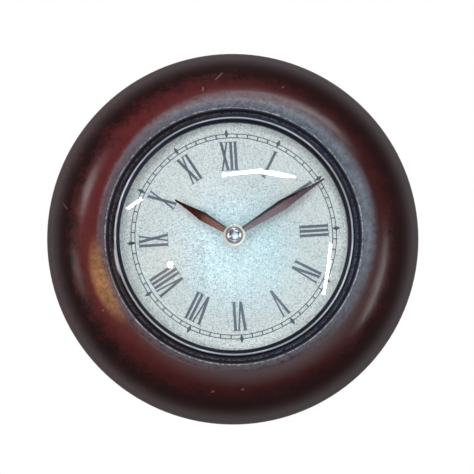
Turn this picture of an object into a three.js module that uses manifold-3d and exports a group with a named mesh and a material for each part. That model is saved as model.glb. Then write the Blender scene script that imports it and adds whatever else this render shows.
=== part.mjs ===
// Round wooden wall clock with a domed glass and a battery quartz movement, in millimetres.
// It is built in a face frame: x to the right, y up and z out from the wall.
// The origin is on the hands' axis, in the plane of the wall.
// The finished group is turned so that +Z is up and the face looks along -Y.
import * as THREE from "three";
import { mergeVertices } from "three/addons/utils/BufferGeometryUtils.js";
import Module from "manifold-3d";

const wasm = await Module();
wasm.setup();

// Clearances
const seat = 0.15; // between faces that rest on each other
const fit = 0.3; // round a piece in its bore or recess
const play = 0.15; // round an arbor or tube in its bearing
const overshoot = 1; // how far a cutting tool runs past the face that it cuts

// Wooden ring
const wellRadius = 64; // bore in the middle of the ring, which the bezel's skirt drops into
const ringWidth = 37.5; // from the well to the ring's widest line
const crownOffset = 4.1; // from the wood's inner edge to the circle along the top of the ring
const widestHeight = 16; // height above the wall where the ring is widest
const footInset = 7.5; // how far the back edge draws in from the widest line
const crownRise = 4.8; // crown above the wood's inner edge
const lipEase = 1.6; // how far inside the lip the inner curve would stand upright
const lipRise = 6.2; // the wood's inner edge above the dial
const ledgeRise = 3.2; // the bezel's ledge above the dial
const ledgeWidth = 3.9; // from the well to the wood's inner edge
const boardShoulder = 4.7; // width of the shoulder that the dial board rests on

// Dial board and dial
const boardThickness = 4;
const dialThickness = 0.4;
const boardScrewCount = 4;
const boardScrewHead = 1.9;
const boardScrewShank = 0.8;
const boardScrewBite = 3; // length of the board screws in the ring
const boardScrewDome = 1.1; // height of a board screw's head

// Bezel, glass and spacer
const crestInset = 1.1; // from the well to the bead crest
const crestRise = 6.3; // bead crest above the dial
const beadRadius = 0.8;
const beadSpread = THREE.MathUtils.degToRad(22); // half of the turn of the bead between its two slopes
const flangeRise = 4.5; // edge of the bezel's flange above the dial
const skirtThickness = 0.9;
const sightInset = 3.3; // from the well to the inner edge of the bezel
const sightThickness = 0.3;
const glassRise = 2.6; // underside of the glass edge above the dial
const glassThickness = 1.8;
const glassSagitta = 9;
const spacerInset = 3.7; // from the well to the bore of the spacer

// Hands
const handThickness = 0.4;
const ridgeHeight = 0.45;
const hourHandRise = 2.8; // underside of the hour hand above the dial
const minuteHandRise = 4; // underside of the minute hand above the dial
const minuteHandGap = 3.7; // between the minute hand's tip and the bezel
const minuteHandBelly = 30.8; // distance from the axis to the widest place
const minuteHandWidth = 5.9;
const minuteHandDrop = 1.2; // bend of the tip towards the dial
const hourHandGap = 20.4; // between the hour hand's tip and the minute hand's circle
const hourHandBelly = 19.6;
const hourHandWidth = 5;
const hourHandDrop = 0.5;
const handRootWidth = 2.3;
const handTipWidth = 0.8;
const handTaper = 1.35; // 1 for straight edges from the widest place to the tip, more for hollow ones
const eyeletWall = 1.9;
const shownMinutes = 610.35; // minutes past twelve that the hands show at rest
const capFlangeRadius = 5.85;
const capFlangeThickness = 0.4;
const capDomeRadius = 4.6;
const capDomeHeight = 2.8;

// Tubes on the hands' axis
const threadRadius = 3.8;
const threadRise = 2.5; // end of the threaded bushing above the dial
const bushingFlangeRadius = 6;
const bushingFlangeThickness = 0.7;
const hourTubeRadius = 2.5;
const minuteTubeRadius = 1.55;
const tubeWall = 0.75;
const sleeveRadius = 1.3;
const arborRadius = 0.45;
const knobArborRadius = 0.6;
const nutFlats = 10;
const nutSides = 6;
const nutThickness = 1.6;
const washerRadius = 5.8;
const washerThickness = 0.4;
const rubberRadius = 11;
const rubberThickness = 0.9;

// Cell and its contacts
const cellRadius = 7.1;
const cellLength = 48.5;
const nubRadius = 2.7;
const nubLength = 1.3;
const cellPlay = 0.2;
const contactThickness = 0.3;
const contactWidth = 6;
const springReach = 2.4;
const contactHalf = 5; // half of the length of a contact along the end of its bay
const springFlat = 1; // half of the flat where the spring meets the cell
const springTail = 4;

// Movement housing
const wallGap = 4.6; // between the wall and the movement's back
const shellWall = 1.4;
const shellCorner = 3;
const coverThickness = 1.2;
const ribThickness = 1;
const bossHeight = 1.2;
const bossWall = 1.1;
const plateThickness = 1;
const pillarRadius = 2.4;
const pillarPin = 1.3;
const pillarMargin = 1; // between a pillar and the walls
const knobRadius = 5;
const knobThickness = 2.3;
const knobFlutes = 12;
const fluteDepth = 0.25;

// Wheels: a leaf count for each pinion and a tooth count for the wheel that it meshes with
const wheelThickness = 0.9;
const pinionOverhang = 0.25;
const rotorLeaves = 6;
const fifthTeeth = 30;
const fifthLeaves = 6;
const secondTeeth = 36;
const secondLeaves = 6;
const thirdTeeth = 45;
const thirdLeaves = 6;
const centreTeeth = 48;
const cannonLeaves = 10;
const motionTeeth = 30;
const motionLeaves = 8;
const hourTeeth = 32;
const fifthModule = 0.4;
const secondModule = 0.4;
const thirdModule = 0.333;
const motionModule = 0.45;
const motionBearing = THREE.MathUtils.degToRad(150);
const thirdBearing = THREE.MathUtils.degToRad(30);
const fifthBearing = THREE.MathUtils.degToRad(95);
const rotorBearing = THREE.MathUtils.degToRad(60);

// Step motor and circuit
const magnetRadius = 2.5;
const magnetHeight = 2.8;
const airGap = 0.5;
const statorMargin = 4; // stator metal round the rotor's axis
const statorThickness = 1;
const coreWidth = 3;
const coreThickness = 1;
const bobbinLength = 16;
const bobbinFlange = 3.6;
const bobbinFlangeThickness = 0.8;
const bobbinWall = 0.5;
const legWidth = 4;
const boardWidth = 11.5;
const boardHeight = 8;
const circuitThickness = 1;
const circuitCorner = 1;
const circuitMargin = 0.4; // between the board's edge and the pieces on it
const crystalRadius = 1;
const crystalLength = 6;
const chipRadius = 2.4;
const chipHeight = 1.1;

// Hanger plate let into the back of the ring
const hangerLength = 46;
const hangerWidth = 18;
const hangerCorner = 8;
const hangerThickness = 1.5;
const hangerInset = 0.2; // below the back of the ring
const keyholeRadius = 4.6;
const keyholeSlot = 2.5;
const keyholeRun = 5.6; // from the middle of the round hole to the end of the slot
const nailPocketDepth = 9;
const nailPocketMargin = 1.2; // plate beyond the pocket's ends, and pocket beyond the keyhole's sides
const hangerScrewInset = 6; // from the plate's end to the screw
const hangerScrewHead = 2.8;
const hangerScrewShank = 1.3;
const hangerScrewLength = 12;

// Facets
const largeRound = 44;
const middleRound = 20;
const coilRound = 16;
const smallRound = 8;
const domeSteps = 4; // facets from the rim of a dome to its top
const cornerSteps = 2; // halves of the facets in a rounded corner
const curveSteps = 3; // facets in a short curve of a profile
const sideSteps = 8; // facets in the ring's outer side
const bladeSteps = 12; // facets along a hand

// Circles about the axis
const caseRadius = wellRadius + ringWidth;
const lipRadius = wellRadius + ledgeWidth;
const crownRadius = lipRadius + crownOffset;
const boardBore = wellRadius + boardShoulder;
const backRadius = caseRadius - footInset;
const crestRadius = wellRadius - crestInset;
const sightRadius = wellRadius - sightInset;
const minuteHandLength = sightRadius - minuteHandGap;
const hourHandLength = minuteHandLength - hourHandGap;

// Stack of the clock along its axis
const movementDepth = shellWall + 2 * (cellRadius + cellPlay);
const movementFront = wallGap + movementDepth;
const boardBack = movementFront + rubberThickness + 2 * seat;
const boardFront = boardBack + boardThickness;
const dialFace = boardFront + seat + dialThickness;
const lipHeight = dialFace + lipRise;
const crownHeight = lipHeight + crownRise;
const ledgeHeight = dialFace + ledgeRise;
const hourHandBase = dialFace + hourHandRise;
const minuteHandBase = dialFace + minuteHandRise;
const minuteHandTop = minuteHandBase + handThickness;

// Distances and levels inside the movement
const meshDistance = (leaves, teeth, module) => ((leaves + teeth) * module) / 2;
const matchedModule = (distance, leaves, teeth) => (2 * distance) / (leaves + teeth);
const motionDistance = meshDistance(cannonLeaves, motionTeeth, motionModule);
const hourModule = matchedModule(motionDistance, motionLeaves, hourTeeth);
const thirdDistance = meshDistance(secondLeaves, thirdTeeth, thirdModule);
const centreModule = matchedModule(thirdDistance, thirdLeaves, centreTeeth);
const fifthDistance = meshDistance(fifthLeaves, secondTeeth, secondModule);
const rotorDistance = meshDistance(rotorLeaves, fifthTeeth, fifthModule);
const spotAt = (from, distance, bearing) =>
  new THREE.Vector2(Math.cos(bearing), Math.sin(bearing)).multiplyScalar(distance).add(from);
const axisSpot = new THREE.Vector2(0, 0);
const motionSpot = spotAt(axisSpot, motionDistance, motionBearing);
const thirdSpot = spotAt(axisSpot, thirdDistance, thirdBearing);
const fifthSpot = spotAt(axisSpot, fifthDistance, fifthBearing);
const rotorSpot = spotAt(fifthSpot, rotorDistance, rotorBearing);

const innerFront = movementFront - shellWall;
const coverInner = wallGap + coverThickness;
const wheelLevels = 6;
const levelGap =
  (innerFront - coverInner - bossHeight - wheelLevels * wheelThickness - plateThickness) / (wheelLevels + 2);
const fifthLevel = coverInner + bossHeight + levelGap;
const secondLevel = fifthLevel + wheelThickness + levelGap;
const thirdLevel = secondLevel + wheelThickness + levelGap;
const plateLevel = thirdLevel + wheelThickness + levelGap;
const plateTop = plateLevel + plateThickness;
const centreLevel = plateTop + levelGap;
const motionLevel = centreLevel + wheelThickness + levelGap;
const hourLevel = motionLevel + wheelThickness + levelGap;
const statorLevel = secondLevel + statorThickness / 4;
const statorTop = statorLevel + statorThickness;
const coreLevel = statorTop + seat;
const coilHeight = coreLevel + coreThickness / 2;

// Outline of the movement, seen from the front
const addendum = 0.85;
const dedendum = 1.25;
const tipRadius = (teeth, module) => (teeth / 2 + addendum) * module;
const widestWheel = Math.max(
  tipRadius(centreTeeth, centreModule),
  tipRadius(secondTeeth, secondModule),
  tipRadius(hourTeeth, hourModule),
);
const trainMargin = 2.4;
const trainLow = -widestWheel - trainMargin;
const coilSpot = new THREE.Vector2(rotorSpot.x, rotorSpot.y + statorMargin + fit + bobbinFlange);
const trainHigh = coilSpot.y + bobbinFlange + fit;
const bayHigh = trainLow - ribThickness;
const bayLow = bayHigh - 2 * (cellRadius + cellPlay);
const shellLow = bayLow - shellWall;
const shellHigh = trainHigh + shellWall;
const bayHalf = (cellLength + nubLength + contactThickness + springReach) / 2 + 2 * seat;
const shellHalf = bayHalf + shellWall;
const cellSpot = new THREE.Vector2(0, (bayHigh + bayLow) / 2);
const cellHeight = wallGap + cellPlay + cellRadius;
const rotorPlateMargin = 1.8;
const plateHigh = rotorSpot.y + rotorPlateMargin;
const pillarInset = pillarRadius + pillarMargin;
const pillarSpots = [-1, 1].flatMap((side) => [
  new THREE.Vector2(side * (bayHalf - pillarInset), trainLow + pillarInset),
  new THREE.Vector2(side * (bayHalf - pillarInset), plateHigh - pillarInset),
]);
const legOffset = bobbinLength / 2 + fit + legWidth / 2;
const circuitInset = 0.8;
const circuitLeft = -bayHalf + circuitInset;
const circuitLow = trainHigh - circuitInset - boardHeight;
const circuitPostInset = 2.4;
const circuitPostRadius = 1.4;
const circuitPosts = [circuitPostInset, boardWidth - circuitPostInset].map(
  (along) => new THREE.Vector2(circuitLeft + along, circuitLow + boardHeight / 2),
);
const corePosts = [-1, 1].map((side) => new THREE.Vector2(coilSpot.x + side * legOffset, coilSpot.y));
const corePostRadius = 1.6;

// Finishes
const finish = (color, roughness, metalness, more = {}) =>
  new THREE.MeshStandardMaterial({ color, roughness, metalness, ...more });
const lacqueredWood = finish(0x4a1815, 0.32, 0);
const plywood = finish(0xb08d5c, 0.7, 0);
const darkMetal = finish(0x1d1c22, 0.2, 1);
const clearGlass = finish(0xe8f2f0, 0.03, 0, { transparent: true, opacity: 0.2 });
const dialPrint = finish(0xbac5bd, 0.75, 0);
const copperBrown = finish(0x5a322c, 0.35, 0.9);
const chrome = finish(0xd6dade, 0.08, 1);
const brass = finish(0xc09a4a, 0.3, 1);
const steel = finish(0x9a9ca0, 0.35, 1);
const zincSteel = finish(0xb4b6b2, 0.4, 1);
const blackPlastic = finish(0x17181a, 0.5, 0);
const whitePlastic = finish(0xdedcd2, 0.45, 0);
const blackRubber = finish(0x202020, 0.9, 0);
const copperWire = finish(0xa7542c, 0.35, 0.8);
const circuitGreen = finish(0x2c6a3c, 0.5, 0);
const magnetGrey = finish(0x3c3d42, 0.5, 0.6);
const cellJacket = finish(0x2f3e52, 0.35, 0.3);

// A closed geometry as a solid for joining and cutting.
function solidFrom(geometry) {
  const bare = new THREE.BufferGeometry();
  bare.setAttribute("position", geometry.getAttribute("position"));
  bare.setIndex(geometry.index);
  const merged = mergeVertices(bare, 1e-4);
  const mesh = new wasm.Mesh({
    numProp: 3,
    vertProperties: merged.getAttribute("position").array,
    triVerts: new Uint32Array(merged.index.array),
  });
  return new wasm.Manifold(mesh);
}

function geometryFrom(solid) {
  const mesh = solid.getMesh();
  const geometry = new THREE.BufferGeometry();
  geometry.setAttribute("position", new THREE.BufferAttribute(mesh.vertProperties, 3));
  geometry.setIndex(new THREE.BufferAttribute(mesh.triVerts, 1));
  geometry.computeVertexNormals();
  return geometry;
}

function joined(...pieces) {
  return geometryFrom(pieces.map(solidFrom).reduce((whole, piece) => whole.add(piece)));
}

function cut(body, ...tools) {
  return geometryFrom(tools.map(solidFrom).reduce((whole, tool) => whole.subtract(tool), solidFrom(body)));
}

// Points along part of an ellipse, with both ends.
function arc(centreX, centreY, spanX, spanY, from, to, steps) {
  return Array.from({ length: steps + 1 }, (_, i) => {
    const angle = THREE.MathUtils.lerp(from, to, i / steps);
    return new THREE.Vector2(centreX + spanX * Math.cos(angle), centreY + spanY * Math.sin(angle));
  });
}

const at = (x, y) => new THREE.Vector2(x, y);

// Turns a profile of radius and height about the axis. It runs anticlockwise, with the axis on its left.
function turned(points, segments) {
  const first = points[0];
  const last = points[points.length - 1];
  const closed = first.x > 0 || last.x > 0 ? [...points, first.clone()] : points;
  return new THREE.LatheGeometry(closed, segments).rotateX(Math.PI / 2);
}

function ring(inner, outer, low, high, segments) {
  return turned([at(inner, low), at(outer, low), at(outer, high), at(inner, high)], segments);
}

function rod(radius, low, high, segments) {
  return turned([at(0, low), at(radius, low), at(radius, high), at(0, high)], segments);
}

function rodAt(spot, radius, low, high, segments) {
  return rod(radius, low, high, segments).translate(spot.x, spot.y, 0);
}

function block(left, right, low, high, back, front) {
  const box = new THREE.BoxGeometry(right - left, high - low, front - back);
  return box.translate((left + right) / 2, (low + high) / 2, (back + front) / 2);
}

function slab(shape, back, front) {
  const options = { depth: front - back, bevelEnabled: false, curveSegments: cornerSteps };
  return new THREE.ExtrudeGeometry(shape, options).translate(0, 0, back);
}

function roundedOutline(left, right, low, high, corner) {
  const shape = new THREE.Shape();
  shape.absarc(right - corner, low + corner, corner, -Math.PI / 2, 0);
  shape.absarc(right - corner, high - corner, corner, 0, Math.PI / 2);
  shape.absarc(left + corner, high - corner, corner, Math.PI / 2, Math.PI);
  shape.absarc(left + corner, low + corner, corner, Math.PI, 1.5 * Math.PI);
  return shape;
}

function roundHole(radius, spot, segments) {
  const rim = arc(spot.x, spot.y, radius, radius, 0, 2 * Math.PI, segments);
  return new THREE.Path(rim.slice(1));
}

// A strip of sheet metal that follows a bent line, as an outline seen edge on.
function bentStrip(line, thickness) {
  const sides = line.map((point, i) => {
    const before = line[Math.max(i - 1, 0)];
    const after = line[Math.min(i + 1, line.length - 1)];
    const along = after.clone().sub(before).normalize();
    const across = new THREE.Vector2(-along.y, along.x).multiplyScalar(thickness / 2);
    return [point.clone().sub(across), point.clone().add(across)];
  });
  const right = sides.map((pair) => pair[0]);
  const left = sides.map((pair) => pair[1]).reverse();
  return new THREE.Shape([...right, ...left]);
}

// Joins rings of points that have the same count, with the given triangles as end caps.
function loft(sections, capTriangles) {
  const count = sections[0].length;
  const index = [];
  for (let s = 0; s + 1 < sections.length; s++) {
    for (let i = 0; i < count; i++) {
      const here = s * count + i;
      const next = s * count + ((i + 1) % count);
      index.push(here, next, next + count, here, next + count, here + count);
    }
  }
  const end = (sections.length - 1) * count;
  capTriangles.forEach(([a, b, c]) => index.push(a, c, b, end + a, end + b, end + c));
  const geometry = new THREE.BufferGeometry();
  geometry.setFromPoints(sections.flat());
  geometry.setIndex(index);
  geometry.computeVertexNormals();
  return geometry;
}

// Teeth with straight flanks, thinned for free running, with one tooth on the x axis.
function toothedOutline(teeth, module, bore) {
  const pitch = (2 * Math.PI) / teeth;
  const tip = tipRadius(teeth, module);
  const root = (teeth / 2 - dedendum) * module;
  const rootShare = 0.27;
  const tipShare = 0.11;
  const corners = [[root, -rootShare], [tip, -tipShare], [tip, tipShare], [root, rootShare]];
  const points = [];
  for (let tooth = 0; tooth < teeth; tooth++) {
    corners.forEach(([radius, share]) => {
      const angle = (tooth + share) * pitch;
      points.push(new THREE.Vector2(radius * Math.cos(angle), radius * Math.sin(angle)));
    });
  }
  const shape = new THREE.Shape(points);
  if (bore) shape.holes.push(roundHole(bore, axisSpot, coilRound));
  return shape;
}

function gear(teeth, module, low, thickness = wheelThickness, bore = 0) {
  return slab(toothedOutline(teeth, module, bore), low, low + thickness);
}

function pinion(leaves, module, level, bore = 0) {
  const low = level - pinionOverhang;
  return gear(leaves, module, low, wheelThickness + 2 * pinionOverhang, bore);
}

// Turns a follower so that one of its gaps faces the leader's tooth on the line of centres.
function meshedTurn(bearing, leaderTurn, leaderTeeth, followerTeeth) {
  const lag = ((leaderTurn - bearing) * leaderTeeth) / followerTeeth;
  return bearing + Math.PI - lag + Math.PI / followerTeeth;
}

const clock = new THREE.Group();
clock.rotation.x = Math.PI / 2;

function place(name, geometry, material, spot = axisSpot, turn = 0) {
  const mesh = new THREE.Mesh(geometry, material);
  mesh.name = name;
  mesh.position.set(spot.x, spot.y, 0);
  mesh.rotation.z = turn;
  clock.add(mesh);
}

// Wooden ring, turned in one piece
const boardScrewRadius = wellRadius + boardShoulder / 2;
const boardScrewSpots = Array.from({ length: boardScrewCount }, (_, i) =>
  spotAt(axisSpot, boardScrewRadius, ((i + 0.5) * 2 * Math.PI) / boardScrewCount),
);
const hangerSpot = new THREE.Vector2(0, (boardBore + backRadius) / 2);
const hangerFront = hangerInset + hangerThickness;
const hangerScrewSpots = [-1, 1].map(
  (side) => new THREE.Vector2(side * (hangerLength / 2 - hangerScrewInset), hangerSpot.y),
);
const keyholeLow = hangerSpot.y - (keyholeRun - keyholeRadius + keyholeSlot) / 2;
const keyholeHigh = keyholeLow + keyholeRun;

function hangerOutline(clearance) {
  const half = hangerWidth / 2 + clearance;
  const end = hangerLength / 2 + clearance;
  return roundedOutline(-end, end, hangerSpot.y - half, hangerSpot.y + half, hangerCorner + clearance);
}

function nailPocketOutline() {
  const side = keyholeRadius + nailPocketMargin;
  const half = hangerWidth / 2 - nailPocketMargin;
  return roundedOutline(-side, side, hangerSpot.y - half, hangerSpot.y + half, keyholeSlot);
}

function caseRing() {
  const innerSpan = crownOffset + lipEase;
  const share = crownOffset / innerSpan;
  const innerDrop = crownRise / (1 - Math.sqrt(1 - share * share));
  const innerLevel = crownHeight - innerDrop;
  const sideSpan = caseRadius - crownRadius;
  const sideRise = crownHeight - widestHeight;
  const lipTurn = Math.PI - Math.acos(share);
  const quarter = Math.PI / 2;
  const profile = [
    at(boardBore, 0),
    ...arc(backRadius, widestHeight, footInset, widestHeight, -quarter, 0, curveSteps),
    ...arc(crownRadius, widestHeight, sideSpan, sideRise, 0, quarter, sideSteps).slice(1),
    ...arc(crownRadius, innerLevel, innerSpan, innerDrop, quarter, lipTurn, curveSteps).slice(1),
    at(lipRadius, ledgeHeight),
    at(wellRadius, ledgeHeight),
    at(wellRadius, boardFront + seat),
    at(boardBore, boardFront + seat),
  ];
  const below = -overshoot;
  const cuts = [
    slab(hangerOutline(fit), below, hangerFront + seat),
    slab(nailPocketOutline(), below, hangerFront + nailPocketDepth),
  ];
  hangerScrewSpots.forEach((spot) => {
    cuts.push(rodAt(spot, hangerScrewShank + play, below, hangerScrewLength + seat, smallRound));
  });
  boardScrewSpots.forEach((spot) => {
    const tip = boardFront + seat + boardScrewBite + seat;
    cuts.push(rodAt(spot, boardScrewShank + play, boardBack, tip, smallRound));
  });
  return cut(turned(profile, largeRound), ...cuts);
}
place("case_ring", caseRing(), lacqueredWood);

// Dial board with its screws, and the printed dial on its front
function dialBoard() {
  const disc = ring(threadRadius + fit, boardBore - fit, boardBack, boardFront, largeRound);
  const holes = boardScrewSpots.map((spot) =>
    rodAt(spot, boardScrewShank + play, boardBack - overshoot, boardFront + overshoot, smallRound),
  );
  return cut(disc, ...holes);
}
place("dial_board", dialBoard(), plywood);

function boardScrew() {
  const under = boardBack - seat;
  const tip = boardFront + seat + boardScrewBite;
  const profile = [
    ...arc(0, under, boardScrewHead, boardScrewDome, -Math.PI / 2, 0, curveSteps),
    at(boardScrewShank, under),
    at(boardScrewShank, tip - 2 * boardScrewShank),
    at(0, tip),
  ];
  profile[0].x = 0;
  return turned(profile, smallRound);
}
boardScrewSpots.forEach((spot, i) => place(`board_screw_${i + 1}`, boardScrew(), zincSteel, spot));
const dialDisc = ring(threadRadius + fit, wellRadius - fit, boardFront + seat, dialFace, largeRound);
place("dial_paper", dialDisc, dialPrint);

// Domed glass, the bezel that holds it and the spacer under it
const skirtOuter = wellRadius - fit;
const skirtInner = skirtOuter - skirtThickness;
const glassRadius = skirtInner - fit;
const glassEdge = dialFace + glassRise;
const domeRadius = (glassRadius ** 2 + glassSagitta ** 2) / (2 * glassSagitta);
const domeCentre = glassEdge + glassSagitta - domeRadius;
const domeHeight = (radius) => domeCentre + Math.sqrt(domeRadius ** 2 - radius ** 2);

function domedGlass() {
  const up = Math.PI / 2;
  const edge = up - Math.asin(glassRadius / domeRadius);
  const inner = arc(0, domeCentre, domeRadius, domeRadius, up, edge, domeSteps);
  const outer = arc(0, domeCentre + glassThickness, domeRadius, domeRadius, edge, up, domeSteps);
  inner[0].x = 0;
  outer[domeSteps].x = 0;
  return turned([...inner, ...outer], largeRound);
}
place("domed_glass", domedGlass(), clearGlass);

function bezel() {
  const lipUnder = (radius) => domeHeight(radius) + glassThickness + seat;
  const flangeEdge = lipRadius - fit;
  const flangeUnder = ledgeHeight + seat;
  const flangeTop = dialFace + flangeRise;
  const beadHeight = dialFace + crestRise - beadRadius;
  const up = Math.PI / 2;
  const profile = [
    at(skirtInner, dialFace + seat),
    at(skirtOuter, dialFace + seat),
    at(skirtOuter, flangeUnder),
    at(flangeEdge, flangeUnder),
    at(flangeEdge, flangeTop),
    ...arc(crestRadius, beadHeight, beadRadius, beadRadius, up - beadSpread, up + beadSpread, curveSteps),
    at(sightRadius, lipUnder(sightRadius) + sightThickness),
    at(sightRadius, lipUnder(sightRadius)),
    at(skirtInner, lipUnder(skirtInner)),
  ];
  return turned(profile, largeRound);
}
place("bezel", bezel(), darkMetal);

const spacerBore = wellRadius - spacerInset;
const spacerRing = ring(spacerBore, glassRadius, dialFace + seat, glassEdge - seat, largeRound);
place("spacer_ring", spacerRing, darkMetal);

// Hanger plate with a keyhole and two countersunk screws
function hangerPlate() {
  const shape = hangerOutline(0);
  const halfMouth = Math.asin(keyholeSlot / keyholeRadius);
  const up = Math.PI / 2;
  const mouth = up - halfMouth + 2 * Math.PI;
  const keyhole = [
    ...arc(0, keyholeLow, keyholeRadius, keyholeRadius, up + halfMouth, mouth, smallRound),
    ...arc(0, keyholeHigh, keyholeSlot, keyholeSlot, 0, Math.PI, smallRound / 2),
  ];
  shape.holes.push(new THREE.Path(keyhole));
  const countersinks = hangerScrewSpots.flatMap((spot) => [
    rodAt(spot, hangerScrewShank + play, hangerInset - overshoot, hangerFront + overshoot, smallRound),
    sunkHead(hangerScrewHead + fit, fit).translate(spot.x, spot.y, 0),
  ]);
  return cut(slab(shape, hangerInset, hangerFront), ...countersinks);
}

// The cone under a countersunk head, down to the shank. Seen from behind, its wide side is outermost.
function sunkHead(headRadius, below) {
  const depth = headRadius - hangerScrewShank;
  const low = hangerInset - below;
  const profile = [
    at(0, low),
    at(headRadius, low),
    at(headRadius, hangerInset),
    at(hangerScrewShank, hangerInset + depth),
    at(0, hangerInset + depth),
  ];
  return turned(profile, smallRound);
}

function hangerScrew() {
  const depth = hangerScrewHead - hangerScrewShank;
  const profile = [
    at(0, hangerInset),
    at(hangerScrewHead, hangerInset),
    at(hangerScrewShank, hangerInset + depth),
    at(hangerScrewShank, hangerScrewLength - 2 * hangerScrewShank),
    at(0, hangerScrewLength),
  ];
  return turned(profile, smallRound);
}
place("hanger_plate", hangerPlate(), zincSteel);
hangerScrewSpots.forEach((spot, i) => place(`hanger_screw_${i + 1}`, hangerScrew(), zincSteel, spot));

// Hands: pressed sheet with a ridge, an eyelet at the axis and a slight bend towards the dial
function handBlade(length, belly, width, drop, start) {
  const halfWidth = (along) => {
    if (along < belly) return THREE.MathUtils.lerp(handRootWidth, width, along / belly) / 2;
    const share = (length - along) / (length - belly);
    return THREE.MathUtils.lerp(handTipWidth, width, share ** handTaper) / 2;
  };
  const sections = Array.from({ length: bladeSteps + 1 }, (_, i) => {
    const along = THREE.MathUtils.lerp(start, length, i / bladeSteps);
    const half = halfWidth(along);
    const ridge = (ridgeHeight * half * 2) / width;
    const bend = drop * (along / length) ** 2;
    const outline = [
      [half, 0],
      [0, ridge],
      [-half, 0],
      [-half, handThickness],
      [0, handThickness + ridge],
      [half, handThickness],
    ];
    return outline.map(([across, up]) => new THREE.Vector3(across, along, up - bend));
  });
  return loft(sections, [[0, 1, 4], [0, 4, 5], [1, 2, 3], [1, 3, 4]]);
}

function hand(length, belly, width, drop, tube) {
  const bore = tube + play;
  const eyelet = ring(bore, bore + eyeletWall, 0, handThickness, middleRound);
  return joined(eyelet, handBlade(length, belly, width, drop, bore + eyeletWall / 2));
}
const minuteTurn = (-2 * Math.PI * shownMinutes) / 60;
const hourTurn = minuteTurn / 12;
const hourHand = hand(hourHandLength, hourHandBelly, hourHandWidth, hourHandDrop, hourTubeRadius);
place("hour_hand", hourHand.translate(0, 0, hourHandBase), copperBrown, axisSpot, hourTurn);
const minuteHand = hand(
  minuteHandLength,
  minuteHandBelly,
  minuteHandWidth,
  minuteHandDrop,
  minuteTubeRadius,
);
place("minute_hand", minuteHand.translate(0, 0, minuteHandBase), copperBrown, axisSpot, minuteTurn);

// Domed cap with a flange, screwed on the end of the minute tube
const minuteTubeEnd = minuteHandTop + capFlangeThickness;
function handCap() {
  const low = minuteHandTop + seat + ridgeHeight;
  const brim = low + capFlangeThickness;
  const dome = arc(0, brim, capDomeRadius, capDomeHeight, 0, Math.PI / 2, domeSteps);
  dome[domeSteps].x = 0;
  const profile = [
    at(0, minuteTubeEnd + seat),
    at(minuteTubeRadius + play, minuteTubeEnd + seat),
    at(minuteTubeRadius + play, minuteHandTop + seat),
    at(minuteTubeRadius + eyeletWall / 2, minuteHandTop + seat),
    at(minuteTubeRadius + eyeletWall / 2, low),
    at(capFlangeRadius, low),
    at(capFlangeRadius, brim),
    ...dome,
  ];
  return turned(profile, middleRound);
}
place("hand_cap", handCap(), chrome);

// Washers and nut that clamp the movement to the dial board
const rubberWasher = ring(
  threadRadius + fit,
  rubberRadius,
  movementFront + seat,
  boardBack - seat,
  middleRound,
);
place("rubber_washer", rubberWasher, blackRubber);
const washerTop = dialFace + seat + washerThickness;
const fixingWasher = ring(threadRadius + fit, washerRadius, dialFace + seat, washerTop, middleRound);
place("fixing_washer", fixingWasher, brass);

function fixingNut() {
  const corner = nutFlats / 2 / Math.cos(Math.PI / nutSides);
  const rim = arc(0, 0, corner, corner, 0, 2 * Math.PI, nutSides);
  const shape = new THREE.Shape(rim.slice(1));
  shape.holes.push(roundHole(threadRadius + play, axisSpot, middleRound));
  const low = washerTop + seat;
  return slab(shape, low, low + nutThickness);
}
place("fixing_nut", fixingNut(), brass);

// Movement housing: front shell with pillars and a cell bay, back cover, threaded bushing and train plate
function frontShell() {
  const outline = roundedOutline(-shellHalf, shellHalf, shellLow, shellHigh, shellCorner);
  const below = wallGap - overshoot;
  const recess = movementFront - bushingFlangeThickness - seat;
  const bearingLow = innerFront - overshoot;
  const bearingTop = innerFront + shellWall / 2;
  const hollow = cut(
    slab(outline, wallGap, movementFront),
    block(-bayHalf, bayHalf, trainLow, trainHigh, below, innerFront),
    block(-bayHalf, bayHalf, bayLow, bayHigh, below, innerFront),
  );
  const posts = [
    ...pillarSpots.map((spot) => rodAt(spot, pillarRadius, plateTop + seat, bearingTop, smallRound)),
    ...pillarSpots.map((spot) => rodAt(spot, pillarPin, coverInner + seat, bearingTop, smallRound)),
    ...circuitPosts.map((spot) => rodAt(spot, circuitPostRadius, statorTop + seat, bearingTop, smallRound)),
    ...corePosts.map((spot) =>
      rodAt(spot, corePostRadius, coreLevel + coreThickness + seat, bearingTop, smallRound),
    ),
  ];
  return cut(
    joined(hollow, ...posts),
    rod(bushingFlangeRadius + fit, recess, movementFront + overshoot, middleRound),
    rod(threadRadius + play, bearingLow, movementFront, middleRound),
    rodAt(motionSpot, knobArborRadius + play, bearingLow, bearingTop, smallRound),
    rodAt(thirdSpot, arborRadius + play, bearingLow, bearingTop, smallRound),
  );
}
place("movement_front_shell", frontShell(), blackPlastic);

function backCover() {
  const outline = roundedOutline(-bayHalf + fit, bayHalf - fit, trainLow + fit, trainHigh - fit, fit);
  const bearings = [axisSpot, thirdSpot, fifthSpot, rotorSpot];
  const bossTop = coverInner + bossHeight;
  const bosses = bearings.map((spot) =>
    rodAt(spot, arborRadius + play + bossWall, coverInner - coverThickness / 2, bossTop, smallRound),
  );
  const boreTop = bossTop + overshoot;
  const bores = bearings.map((spot) => rodAt(spot, arborRadius + play, coverInner, boreTop, smallRound));
  const knobBore = rodAt(motionSpot, knobArborRadius + play, wallGap - overshoot, boreTop, smallRound);
  return cut(joined(slab(outline, wallGap, coverInner), ...bosses), knobBore, ...bores);
}
place("movement_back_cover", backCover(), blackPlastic);

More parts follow.
